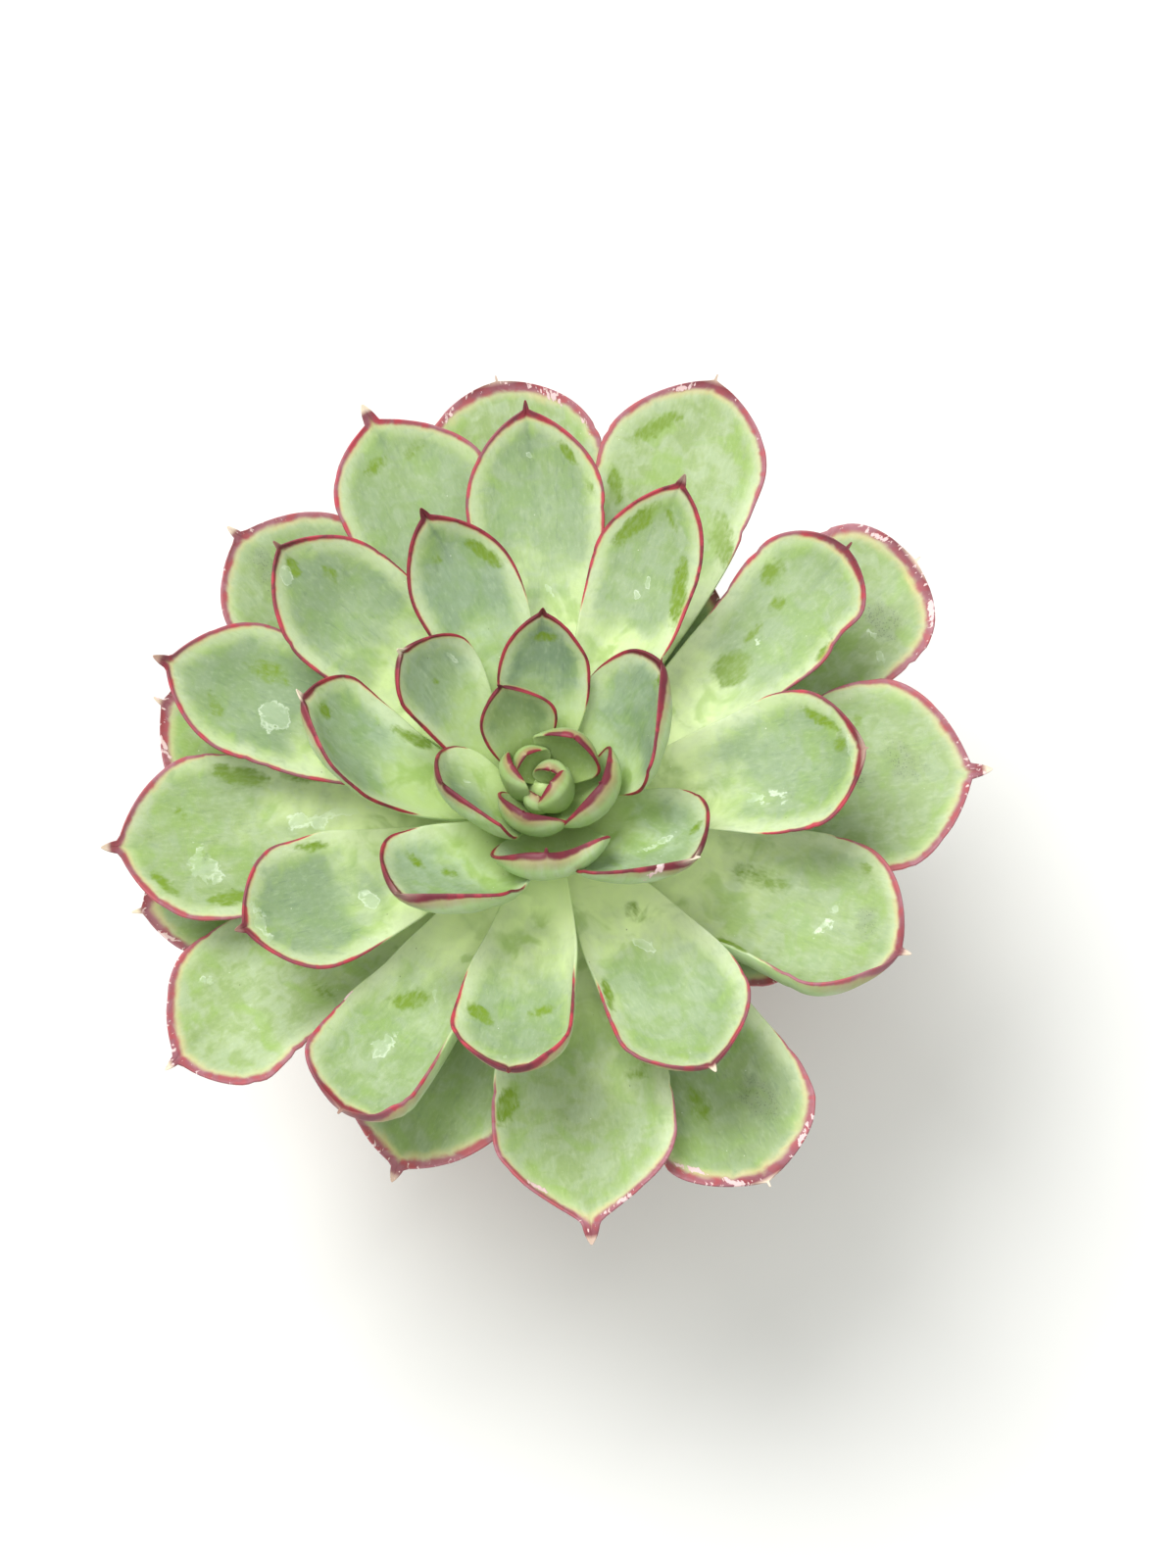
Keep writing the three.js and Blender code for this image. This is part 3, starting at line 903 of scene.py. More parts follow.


@dataclass(frozen=True)
class Section:
    """One cross-section of a leaf."""

    middle: Array  # its place on the rib
    right: Array  # the direction of its counter-clockwise margin
    normal: Array  # the direction out of its face
    shares: Array  # shares across, from the clockwise margin, -1, to the other, 1
    x: Array  # how far to the right each of them lies
    z: Array  # how high each lies
    slope: Array  # the slope at each, in radians
    factors: Array  # how much wider the clockwise and the other side are
    shift: float  # how far it is moved to the right
    edge: float  # how thick its margins are
    bulge: float  # how far their rounding stands out

    def at(self, places: Array, depth: Array) -> Array:
        """Points of the section.

        Args:
            places: shares across.
            depth: how far below the face each point lies.

        Returns:
            The points.
        """
        factor = 1 + np.where(places < 0, self.factors[0] - 1, self.factors[1] - 1) * np.abs(places)
        x, z, tilt = (np.interp(places, self.shares, line) for line in (self.x, self.z, self.slope))
        x = x * factor + depth * np.sin(tilt) + self.shift
        return self.middle + np.outer(x, self.right) + np.outer(z - depth * np.cos(tilt), self.normal)

    def margin(self, side: int) -> Array:
        """The rounding of one margin, going round with the section's points.

        Args:
            side: 1 for the counter-clockwise margin, -1 for the other.

        Returns:
            The points.
        """
        turn = np.linspace(0, math.pi, Leaf.EDGE_POINTS + 2)[1:-1][::side]
        tilt = float(np.interp(side, self.shares, self.slope))
        out = (self.right * math.cos(tilt) + self.normal * math.sin(tilt)) * side
        depth = self.edge * (1 - np.cos(turn)) / 2
        return self.at(np.full(len(turn), float(side)), depth) + np.outer(self.bulge * np.sin(turn), out)


@dataclass(frozen=True)
class Rows:
    """A leaf's rows from foot to point, with one value for each."""

    s: Array  # the share of the leaf's length
    line: Array  # the place on the rib
    slope: Array  # the direction of the rib
    half: Array  # half the width
    body: Array  # the thickness
    shift: Array  # how far the row is moved sideways
    length: Array  # the distance from the foot
    margins: Array  # the factors of the clockwise and of the other margin
    across: Array  # the level direction across the blade, one for all rows


@dataclass(frozen=True)
class Leaf:
    """One leaf: where its point lies, how wide it is and how its blade is bent."""

    age: int  # its place on the spiral, the youngest the most negative
    tip: float  # how high its point lies
    width: float  # its greatest width along the face
    aside: float = 0.0  # how far its point strays from the spiral, counter-clockwise
    longer: float = 0.0  # how much farther out it reaches than is usual at its age
    skew: float = 0.0  # how far the blade leans to its counter-clockwise side
    curl: float | None = None  # how much its sides rise, or None for the usual
    roll: float = 0.0  # how far the blade is rolled about its length
    start: float | None = None  # the rise at its foot, or None for the usual
    end: float | None = None  # the rise at its point, or None for the usual
    fullest: float | None = None  # the share of its length where it is widest, or None for the usual
    shoulder: float = 0.72  # how soon it draws in to its point
    facing: float | None = None  # the azimuth that its blade faces, or None for that of its length
    dent: float = 0.0  # the depth of a dent in its clockwise margin, as a share

    # What the oldest and the youngest leaf usually have, and how late the one turns into the other
    START = (4, 62, 2)
    END = (14, 95, 1.3)
    CURL = (14, 38)
    FULLEST = (0.74, 0.6)
    THICKNESS = (3.4, 2.2)
    RED_WIDTH = (1.5, 0.65)

    # What all leaves share
    EDGE = 0.5  # how thick its margins are
    DENT_PLACE = 0.82  # where along it a dent lies
    DENT_SPREAD = 0.07  # how long the dent is, as a share of the length
    GROOVE = (0.15, 0.4)  # the crease's least depth, and how much deeper a full one is
    GROOVE_SPREAD = 0.11  # how wide the crease is, as a share of half the width
    SWELL = (0.14, 0.3)  # how high its face swells, at least and at most
    SWELL_LENGTH = 17  # about how far apart two swells are
    TEXTURE_STEP = 3.7  # how far apart two leaves' clouds are taken

    # How finely a leaf is cut into rows and points
    ROWS = 60
    FACE_POINTS = 27
    BACK_POINTS = 15
    EDGE_POINTS = 3
    CUTS = 81

    @property
    def name(self) -> str:
        """The node that the leaf stands for."""
        return f"leaf_{GROWTH.oldest - self.age + 1:02d}"

    @property
    def youth(self) -> float:
        """0 for the oldest leaf, 1 at the growing point."""
        return GROWTH.youth(self.age)

    @property
    def reach(self) -> float:
        """How far out from the stem its point lies."""
        return GROWTH.reach(self.age) + self.longer

    @property
    def trait(self) -> Trait:
        """The leaf's finer traits."""
        return TRAITS.get(self.age, Trait())

    def usual(self, own: float | None, old: float, young: float, power: float = 1.0) -> float:
        """The leaf's own value, or where it has none, the usual one at its age."""
        return mix(old, young, self.youth**power) if own is None else own

    def rib(self, s: Array) -> tuple[Array, Array, float]:
        """The line that the blade follows from the stem to its point.

        Args:
            s: shares of its length.

        Returns:
            The points, the directions there, and the azimuth that the blade faces.
        """
        base = GROWTH.axis(GROWTH.height(self.age))
        azimuth = GROWTH.azimuth(self.age)
        tip = base + heading(azimuth + self.aside) * self.reach
        tip[2] = self.tip
        root = base + heading(azimuth) * 0.45 * GROWTH.stem_radius(base[2])
        chord = tip - root
        facing = self.facing if self.facing is not None else math.degrees(math.atan2(chord[1], chord[0]))
        sway = (facing - azimuth + 180) % 360 - 180
        reach = np.linalg.norm(chord) / 3
        a = root + heading(azimuth, self.usual(self.start, *self.START)) * reach
        b = tip - heading(facing + 0.5 * sway, self.usual(self.end, *self.END)) * reach
        t = s[:, None]
        line = (1 - t) ** 3 * root + 3 * (1 - t) ** 2 * t * a + 3 * (1 - t) * t**2 * b + t**3 * tip
        slope = 3 * (1 - t) ** 2 * (a - root) + 6 * (1 - t) * t * (b - a) + 3 * t**2 * (tip - b)
        return line, slope / np.linalg.norm(slope, axis=1, keepdims=True), facing

    def outline(self, s: Array) -> Array:
        """Half the width at each share of the length, as a share of the greatest.

        Args:
            s: shares of the length.

        Returns:
            The half widths.
        """
        waist = 1.12 * GROWTH.stem_radius(GROWTH.height(self.age)) / self.width
        fullest = self.usual(self.fullest, *self.FULLEST)
        end = mix(0.992, 0.952, self.trait.spine)
        grown = mix(waist, 1, ease(s / fullest))
        u = np.clip((s - fullest) / (end - fullest), 0, 1)
        drawn = np.maximum(0, 1 - u * u) ** self.shoulder
        to_end = (1 - s) * max(self.reach, 12)
        point = 1.5 * self.trait.spine * (1 - np.exp(-to_end / 2.5)) + 0.12
        point = point / (self.width / 2) * min(1, self.width / 14)
        return np.where(s < fullest, grown, (drawn**3 + point**3) ** (1 / 3))

    def margins(self, s: Array, rng: Rng) -> Array:
        """How the two margins wander, as factors of the half width.

        Args:
            s: shares of the length.
            rng: draws the waves and nicks.

        Returns:
            One row for the clockwise margin and one for the other.
        """
        age = 1 - self.youth
        sides = []
        for dent in (self.dent, 0.0):
            wave = ripple(s * 60, s * 0, rng, self.SWELL_LENGTH) * self.trait.wave * (0.5 + 2 * age)
            nicks = np.zeros_like(s)
            for _ in range(round(4 * age)):
                at, deep, wide = rng.uniform(0.62, 0.93), rng.uniform(0.1, 0.5), rng.uniform(0.006, 0.014)
                nicks += deep * bell(s, at, wide)
            factor = 1 + (wave - nicks * age) * ease(s, 0.3, 0.6) / (self.width / 2)
            sides.append(factor * (1 - dent * bell(s, self.DENT_PLACE, self.DENT_SPREAD)))
        return np.array(sides)

    def rows(self, count: int, rng: Rng) -> Rows:
        """The leaf's rows.

        Args:
            count: how many there are.
            rng: draws the margins.

        Returns:
            The rows.
        """
        s = 1 - (1 - np.linspace(0, 1, count)) ** 1.6
        line, slope, facing = self.rib(s)
        share = self.outline(s)
        return Rows(
            s=s,
            line=line,
            slope=slope,
            half=self.width / 2 * share,
            body=mix(*self.THICKNESS, self.youth) * np.minimum(1, 1.25 * share) ** 0.7 * mix(1.15, 0.85, s),
            shift=self.skew * self.width / 2 * np.sin(math.pi * s**1.6),
            length=summed(np.linalg.norm(np.diff(line, axis=0), axis=1)),
            margins=self.margins(s, rng),
            across=heading(facing + 90),
        )

    def section(self, rows: Rows, i: int) -> Section:
        """The section at one row.

        Args:
            rows: the leaf's rows.
            i: which one.

        Returns:
            The section.
        """
        s, along = rows.s[i], rows.slope[i]
        side = rows.across - np.dot(rows.across, along) * along
        side /= np.linalg.norm(side)
        roll = math.radians(self.roll) * min(1, 1.5 * s)
        right = side * math.cos(roll) + np.cross(along, side) * math.sin(roll)
        v = np.linspace(-1, 1, self.CUTS)
        bend = math.radians(self.usual(self.curl, *self.CURL)) * mix(1, 0.8, s)
        clockwise, other = (math.radians(lift) * hump(s, 0.35, 0.6, 0.93, 0.99) for lift in self.trait.lift)
        slope = bend * v + np.where(v < 0, -clockwise, other) * ease(np.abs(v), 0.55, 1.0)
        edge = min(self.EDGE, rows.body[i])
        bulge = 0.3 * min(edge, rows.half[i])
        step = (rows.half[i] - bulge) * (v[1] - v[0])
        x, z = (summed((part(slope[1:]) + part(slope[:-1])) / 2 * step) for part in (np.cos, np.sin))
        middle = len(v) // 2
        return Section(
            middle=rows.line[i],
            right=right,
            normal=np.cross(along, right),
            shares=v,
            x=x - x[middle],
            z=z - z[middle],
            slope=slope,
            factors=rows.margins[:, i],
            shift=rows.shift[i],
            edge=edge,
            bulge=bulge,
        )

    def skin(self, count: int = ROWS) -> Skin:
        """The whole leaf as a closed surface with its markings.

        Args:
            count: how many rows it has from foot to point.

        Returns:
            The surface.
        """
        rng = np.random.default_rng([SEED, 100 + self.age])
        rows = self.rows(count, rng)
        swell, draw = rng.uniform(*self.SWELL), rng.integers(1 << 30)
        face, back = arc(self.FACE_POINTS, 0.55), -arc(self.BACK_POINTS, 0.4)
        deep = self.GROOVE[0] + self.GROOVE[1] * self.trait.crease
        points = []
        for i, s in enumerate(rows.s):
            cut = self.section(rows, i)
            groove = deep * bell(face, 0, self.GROOVE_SPREAD) * hump(s, 0.6, 0.9, 0.95, 1)
            place = np.full_like(face, rows.length[i])
            wave = ripple(face * rows.half[i], place, np.random.default_rng(draw), self.SWELL_LENGTH)
            upper = cut.at(face, groove - swell * wave * hump(s, 0.15, 0.4, 0.9, 1) * (1 - face**2))
            lower = cut.at(back, cut.edge + (rows.body[i] - cut.edge) * (1 - back**2))
            points += [upper, cut.margin(1), lower, cut.margin(-1)]
        across = np.concatenate([face, [1] * self.EDGE_POINTS, back, [-1] * self.EDGE_POINTS])
        top = np.concatenate([np.ones(len(face)), [1, 0.6, 0], np.zeros(len(back)), [0, 0.6, 1]])
        ring = len(across)
        tip = range((count - 1) * ring, count * ring)
        faces = [*tube(count, ring), tuple(range(ring)), tuple(reversed(tip))]
        skin = Skin(np.concatenate(points), faces, self.markings(rows, across, top))
        if skin.volume() < 0:
            skin.faces = [tuple(reversed(f)) for f in skin.faces]
        return skin

    def markings(self, rows: Rows, ring: Array, top: Array) -> dict[str, Array]:
        """What the finish reads at each point.

        Args:
            rows: the leaf's rows.
            ring: the shares across of one row's points.
            top: 1 for those on the face, 0 for those on the back.

        Returns:
            The markings by name.
        """
        count, each, youth = len(rows.s), len(ring), self.youth
        low, high = rows.margins
        factor = np.where(ring < 0, low[:, None], high[:, None])
        sideways = ring * rows.half[:, None] * factor + rows.shift[:, None]
        sheet = np.column_stack([sideways.ravel(), np.repeat(rows.length, each)])
        clockwise = np.column_stack([rows.shift - rows.half * low, rows.length])
        other = np.column_stack([rows.shift + rows.half * high, rows.length])
        rim = distance_to_line(sheet, np.concatenate([clockwise, other[::-1]]))
        across, upper, along = np.tile(ring, count), np.tile(top, count), np.repeat(rows.s, each)
        # The red starts partway up each margin, widens to the point and widens once more round it
        begun = np.where(across < 0, *self.trait.red)
        widest = mix(*self.RED_WIDTH, ease(youth, 0.05, 0.5)) * min(1, self.width / 18)
        band = widest * ease(along, begun - 0.08, begun + 0.2) * mix(0.7, 1.25, ease(along, 0.7, 1.0))
        to_point = rows.length[-1] - sheet[:, 1]
        small = min(1, self.width / 20)
        tip = mix(1.5, 0.7, youth) * small * (1 - ease(to_point, 0.5, 4.5 * small + 0.5))
        band = (band + tip) * mix(mix(0.55, 0.42, youth), 1.0, upper)
        # How dark the point is, and where below it the darkness fades
        dark = mix(0.5, 0.95, youth) if self.age > HEART[0].age else 0.45
        darkened = mix(1.2, 1.5, youth) * small, mix(5, 4.5, youth) * small
        marks = {
            "rim": rim / small,
            "edge": np.minimum((rim + 0.12) / np.maximum(band, 0.02), 20),
            "along": along,
            "upper": upper,
            "deepness": (1 - ease(to_point, *darkened)) * dark,
            "pale_point": (1 - ease(to_point, 0.9, 1.9)) * self.trait.dried,
            # The crease's painted shade runs down the middle near the point.
            "crease": self.trait.crease * bell(across, 0, 0.07) * ease(along, 0.62, 0.88),
            "blade": np.column_stack([sheet / 10, np.full(len(sheet), self.TEXTURE_STEP * (self.age + 30))]),
        }
        # The youngest leaves are darkened, partly for their own green and partly as painted shade of the
        # nested heart.
        even = {"deep": self.trait.deep, "mauve": ease(self.age, -8, 10), "fresh": ease(-self.age, 12, 19)}
        even |= {cause.value: 0.0 for cause in MarkCause}
        marks |= {name: np.full(len(sheet), float(value)) for name, value in even.items()}
        for mark in self.trait.marks:
            middle = np.interp(mark.along, rows.s, rows.shift + mark.across * rows.half)
            a, b = sheet[:, 0] - middle, sheet[:, 1] - np.interp(mark.along, rows.s, rows.length)
            turn = math.radians(mark.turn)
            u = (b * math.cos(turn) - a * math.sin(turn)) / mark.length
            w = (a * math.cos(turn) + b * math.sin(turn)) / mark.width
            shape = np.clip(1.25 - np.hypot(u, w), 0, 1) * mark.strength
            marks[mark.cause.value] = np.maximum(marks[mark.cause.value], shape)
        # The margins of older leaves are dry in small spots near the point
        if self.age > 2:
            near = ease(along, 0.72, 0.97) * (1 - ease(rim, 0.3, 1.8)) * float(ease(self.age, 2, 12))
            marks["dry"] = np.maximum(marks["dry"], 0.44 * near)
        return marks


def distance_to_line(points: Array, line: Array) -> Array:
    """How far each flat point lies from a line of straight pieces.

    Args:
        points: the points.
        line: the line's corners.

    Returns:
        The distances.
    """
    a, piece = line[:-1], np.diff(line, axis=0)
    size = np.maximum(np.sum(piece**2, axis=1), 1e-12)
    away = points[:, None, :] - a[None, :, :]
    share = np.clip(np.sum(away * piece[None, :, :], axis=2) / size[None, :], 0, 1)
    nearest = a[None, :, :] + share[:, :, None] * piece[None, :, :]
    return np.min(np.linalg.norm(points[:, None, :] - nearest, axis=2), axis=1)


# Most marks are the leaves' own; a few stand for painted shade and a few for painted highlights.
TRAITS = {
    20: Trait(0.5, 1.0, marks=(DRY(0.93, 0.9, 3.5, 0.7, 30),)),
    18: Trait(0.8, 1.0),
    17: Trait(0.9, 0.5, 0.5),
    16: Trait(0.2, 1.0, 0.3, (0.6, 0.55), marks=(
        SOOT(0.85, -0.3, 4.5, 3, 75), FILM(0.8, -0.5, 5.5, 0.4, -75), FILM(0.88, -0.8, 0.4, 0.4),
        DRY(0.95, 0.8, 3, 0.8, 60), DRY(0.95, -0.9, 4, 0.8, -60),
    )),
    15: Trait(0.5, 0.8, 0.2, marks=(DRY(0.93, 0.9, 4, 0.6, 45),)),
    14: Trait(0.2, 1.0, 0.6, (0.6, 0.7), marks=(
        SOOT(0.8, 0.4, 5, 3, -15), RUBBED(0.75, -0.3, 4, 1.5, 0, 0.7), DRY(0.88, -0.8, 4, 0.7, -45),
        DRY(0.96, -0.8, 4, 0.8, -45), DRY(0.93, 0.9, 3, 0.7, 45),
    )),
    13: Trait(0.15, 0.5, 0.1, marks=(
        DRY(0.93, -0.85, 4, 1, -45, 0.8), DRY(0.85, -0.9, 4, 0.8, -15, 0.7),
        DRY(0.93, 0.9, 3, 0.9, 45, 0.7),
    )),
    12: Trait(0.7, 1.0, 0.1, (0.7, 0.6), marks=(
        RUBBED(0.6, 0, 3, 1.2, 75, 0.5), RUBBED(0.6, 0.5, 3, 1.2, 75, 0.5),
        FILM(0.8, -0.5, 2, 0.8, 30, 0.6), DRY(0.85, -1, 1.2, 0.6),
    )),
    11: Trait(1.0, 0.9, 0.4, (0.55, 0.6), marks=(
        SOOT(0.8, 0.2, 5, 3.5, 60, 0.8), SOOT(0.7, 0, 0.8, 0.6), RUBBED(0.7, 0.6, 2, 0.8, -75, 0.5),
    )),
    10: Trait(0.7, 0.9, 0.45, (0.55, 0.5), marks=(SOOT(0.85, 0.1, 4.5, 3, 15, 0.8),)),
    # Its mark near the clockwise margin at 0.85 along is a painted highlight.
    9: Trait(1.0, 0.6, 0.3, (0.6, 0.66), lift=(25, 0), marks=(
        RUBBED(0.65, -0.85, 4, 1.6, 30), RUBBED(0.6, 0.7, 2.5, 0.9, 60, 0.8), DRY(0.85, -0.8, 3, 0.6, -60),
        DRY(0.9, 0.9, 3.5, 0.7, 60),
    )),
    8: Trait(0.2, 0.6, 0.15, (0.62, 0.6), marks=(
        RUBBED(0.85, 0.5, 5, 1.2, 45), RUBBED(0.7, 0.7, 3.5, 1.2, -30, 0.8),
        RUBBED(0.65, -0.8, 5, 2, -30, 0.8), DRY(0.95, 0.8, 3, 0.8, 60),
    )),
    7: Trait(0.9, 0.7, 0.5, (0.66, 0.6), marks=(
        RUBBED(0.65, -0.8, 5, 1.5, 15), RUBBED(0.5, -0.9, 4, 1.2, 15, 0.6),
        RUBBED(0.7, 0.75, 3.5, 1.4, 0, 0.9), RUBBED(0.85, 0.6, 3, 1, 45, 0.8),
        RUBBED(0.8, -0.35, 1.2, 0.8, 45, 0.6), SOOT(0.75, 0.2, 0.5, 0.4), FILM(0.75, 0.3, 5, 3, 60, 0.7),
        FILM(0.4, -0.4, 5, 1, 0, 0.8), FILM(0.5, -0.2, 6, 2, 15, 0.7),
    )),
    6: Trait(0.6, 0.8, 0.4, (0.66, 0.68), lift=(85, 0), wave=0.3, marks=(
        RUBBED(0.55, -0.75, 3.5, 0.9, 0, 0.9), RUBBED(0.6, -0.95, 2.5, 1, 60),
        RUBBED(0.8, 0.75, 1.5, 0.6, 15), RUBBED(0.55, 0.3, 5, 2, 0, 0.5), SOOT(0.85, 0.25, 4, 2, 75, 0.7),
        FILM(0.75, 0, 6, 1.2, -75, 0.5),
    )),
    5: Trait(1.0, 1.0, 0.5, (0.55, 0.5), crease=0.3, marks=(
        RUBBED(0.85, -0.35, 2.5, 1.5, 60, 0.4), RUBBED(0.85, 0.3, 3, 1.2, 75, 0.5),
    )),
    4: Trait(0.4, 0.3, 0.4, (0.68, 0.66), lift=(0, 85), marks=(
        RUBBED(0.6, -0.2, 4, 1.6, 45), FILM(0.55, 0.1, 1.5, 0.6, -45, 0.8),
        FILM(0.75, -0.1, 5, 2.5, 45, 0.5), DRY(0.7, -1, 3, 0.5, 0, 0.8),
    )),
    3: Trait(0.3, 0.0, 0.4, (0.55, 0.58), crease=0.2, marks=(
        RUBBED(0.8, 0.65, 2.4, 1.8, 0, 0.7), RUBBED(0.75, 0.25, 1.6, 1, 30, 0.8),
        RUBBED(0.65, 0.2, 2, 0.8, 0, 0.8), RUBBED(0.55, 0, 3.5, 2.5, 15),
        RUBBED(0.75, -0.85, 2.2, 1, -15, 0.8), FILM(0.65, 0.05, 1.8, 0.8, 0, 0.7),
    )),
    2: Trait(0.9, 0.4, 0.7, (0.55, 0.32), marks=(
        FILM(0.65, 0.2, 3.5, 2.8, 15, 0.9), RUBBED(0.7, -0.4, 5, 2, 0, 0.4),
        RUBBED(0.8, 0.4, 3, 1.2, 45, 0.5),
    )),
    # Its broad mark low on the face, at 0.4 along, is painted shade cast by leaf -7.
    1: Trait(0.6, 1.0, 0.45, (0.55, 0.66), lift=(30, 0), marks=(
        RUBBED(0.6, -0.85, 3, 1, 15), FILM(0.5, 0.1, 2.5, 0.9, -30), RUBBED(0.4, 0.3, 2.5, 1.5, 0, 0.4),
    )),
    0: Trait(0.5, 0.0, 0.6, (0.5, 0.48), crease=0.35, marks=(
        RUBBED(0.85, -0.7, 2.5, 0.8, -30, 0.9), RUBBED(0.75, -0.85, 1.8, 0.8, -15, 0.5),
        FILM(0.85, 0, 1, 0.4, -30), FILM(0.5, -0.1, 2.5, 0.8, -30, 0.8),
    )),
    -1: Trait(0.8, 0.2, 0.8, (0.62, 0.55), marks=(
        FILM(0.9, 0, 1.5, 4, 0, 0.8), FILM(0.55, 0.2, 2.8, 1.5, 60, 0.9),
        RUBBED(0.65, -0.85, 3.5, 0.7, 15, 0.9),
    )),
    -2: Trait(0.1, 0.4, 0.7, (0.6, 0.66), marks=(
        RUBBED(0.85, 0.6, 4.5, 0.8, 45, 0.9), RUBBED(0.9, 0.2, 2, 1.5, 90, 0.4),
        FILM(0.95, 0, 1.5, 4.5, 0, 0.9), FILM(0.65, -0.4, 5, 2, 15, 0.5),
    )),
    -3: Trait(0.5, 0.2, 0.75, (0.6, 0.4), crease=0.2, marks=(
        RUBBED(0.9, 0.1, 2, 0.8, 15), RUBBED(0.8, -0.25, 2.5, 0.7, 0, 0.6),
        FILM(0.9, 0.4, 2.2, 1.2, 30, 0.8),
    )),
    -4: Trait(0.5, 0.0, 0.6, (0.6, 0.55), crease=0.3, lift=(0, 60), marks=(
        RUBBED(0.75, -0.6, 2.6, 1.4, -60), RUBBED(0.7, 0.35, 2.5, 0.9, 60), FILM(0.9, -0.1, 1.5, 1, 0, 0.5),
    )),
    -5: Trait(0.8, 0.3, 0.5, (0.45, 0.5), marks=(
        RUBBED(0.8, 0.55, 5, 1.5, 30), RUBBED(0.85, -0.1, 2.5, 0.7, -45, 0.6),
        RUBBED(0.65, -0.75, 5.8, 1.5, -15), FILM(0.65, -0.1, 1.5, 0.8, -15), FILM(0.6, 0, 1.2, 0.6, -30),
    )),
    -6: Trait(0.9, 1.0, 0.5, (0.62, 0.4), marks=(
        RUBBED(0.85, -0.25, 1.8, 1.2, 0, 0.8), RUBBED(0.5, -0.85, 4, 1, 0, 0.9), FILM(0.8, 0, 0.4, 0.4),
        FILM(0.65, -0.25, 0.6, 0.3, 45),
    )),
    # Its mark near the clockwise margin is a painted highlight.
    -7: Trait(0.8, 1.0, 0.3, (0.5, 0.6), marks=(
        RUBBED(0.8, 0.65, 1.8, 0.8, -60, 0.8), FILM(0.65, 0.2, 4, 1.6, -60, 0.6),
        DRY(0.9, -0.8, 3, 0.6, -45),
    )),
    -8: Trait(0.8, 0.0, 0.6, (0.55, 0.42), crease=0.45, marks=(
        RUBBED(0.75, -0.65, 3.5, 1.2, -30), RUBBED(0.8, 0.25, 1, 0.7, 0, 0.8),
    )),
    -9: Trait(0.5, 0.2, 0.5, (0.6, 0.5), marks=(
        RUBBED(0.7, -0.6, 2, 0.8, 60, 0.7), RUBBED(0.6, -0.25, 1.5, 0.8, 45, 0.7),
    )),
    # Its mark near the point is painted shade of a fold.
    -10: Trait(0.5, 0.0, 0.7, (0.35, 0.62), crease=0.2, marks=(RUBBED(0.9, 0, 2, 0.6, 0, 0.6),)),
    -11: Trait(0.9, 1.0, 0.5, (0.7, 0.35), marks=(
        RUBBED(0.7, 0, 1, 0.5, 30, 0.7), FILM(0.75, -0.6, 2, 0.6, 0, 0.7),
    )),
    -12: Trait(0.8, 0.0, 0.3),
    -13: Trait(0.9, 0.0, 1.0, (0.4, 0.48), crease=0.4, marks=(RUBBED(0.8, -0.1, 2.2, 0.9, 90, 0.8),)),
    # Its mark is a painted highlight.
    -14: Trait(0.8, 0.0, 0.8, (0.5, 0.4), crease=0.3, marks=(FILM(0.6, -0.4, 2.5, 0.8, 0, 0.6),)),
    -15: Trait(0.5, 0.0, 0.4, (0.35, 0.35)),
    -16: Trait(0.9, 0.0, 0.9, (0.35, 0.3), crease=0.3),
    -17: Trait(0.4, 0.0, 0.2, (0.4, 0.4)),
    -18: Trait(0.5, 0.0, 0.3, (0.45, 0.8)),
    -19: Trait(0.3, 0.0, 0.1, (0.8, 0.8)),
    -20: Trait(0.4, 0.0, 0.1, (0.75, 0.75)),
    -21: Trait(0.2, 0.0, 0.1, (0.95, 0.95)),
    -22: Trait(0.2, 0.0, 0.1, (0.9, 0.9)),
    -23: Trait(0.2, 0.0, 0.1, (0.95, 0.95)),
}

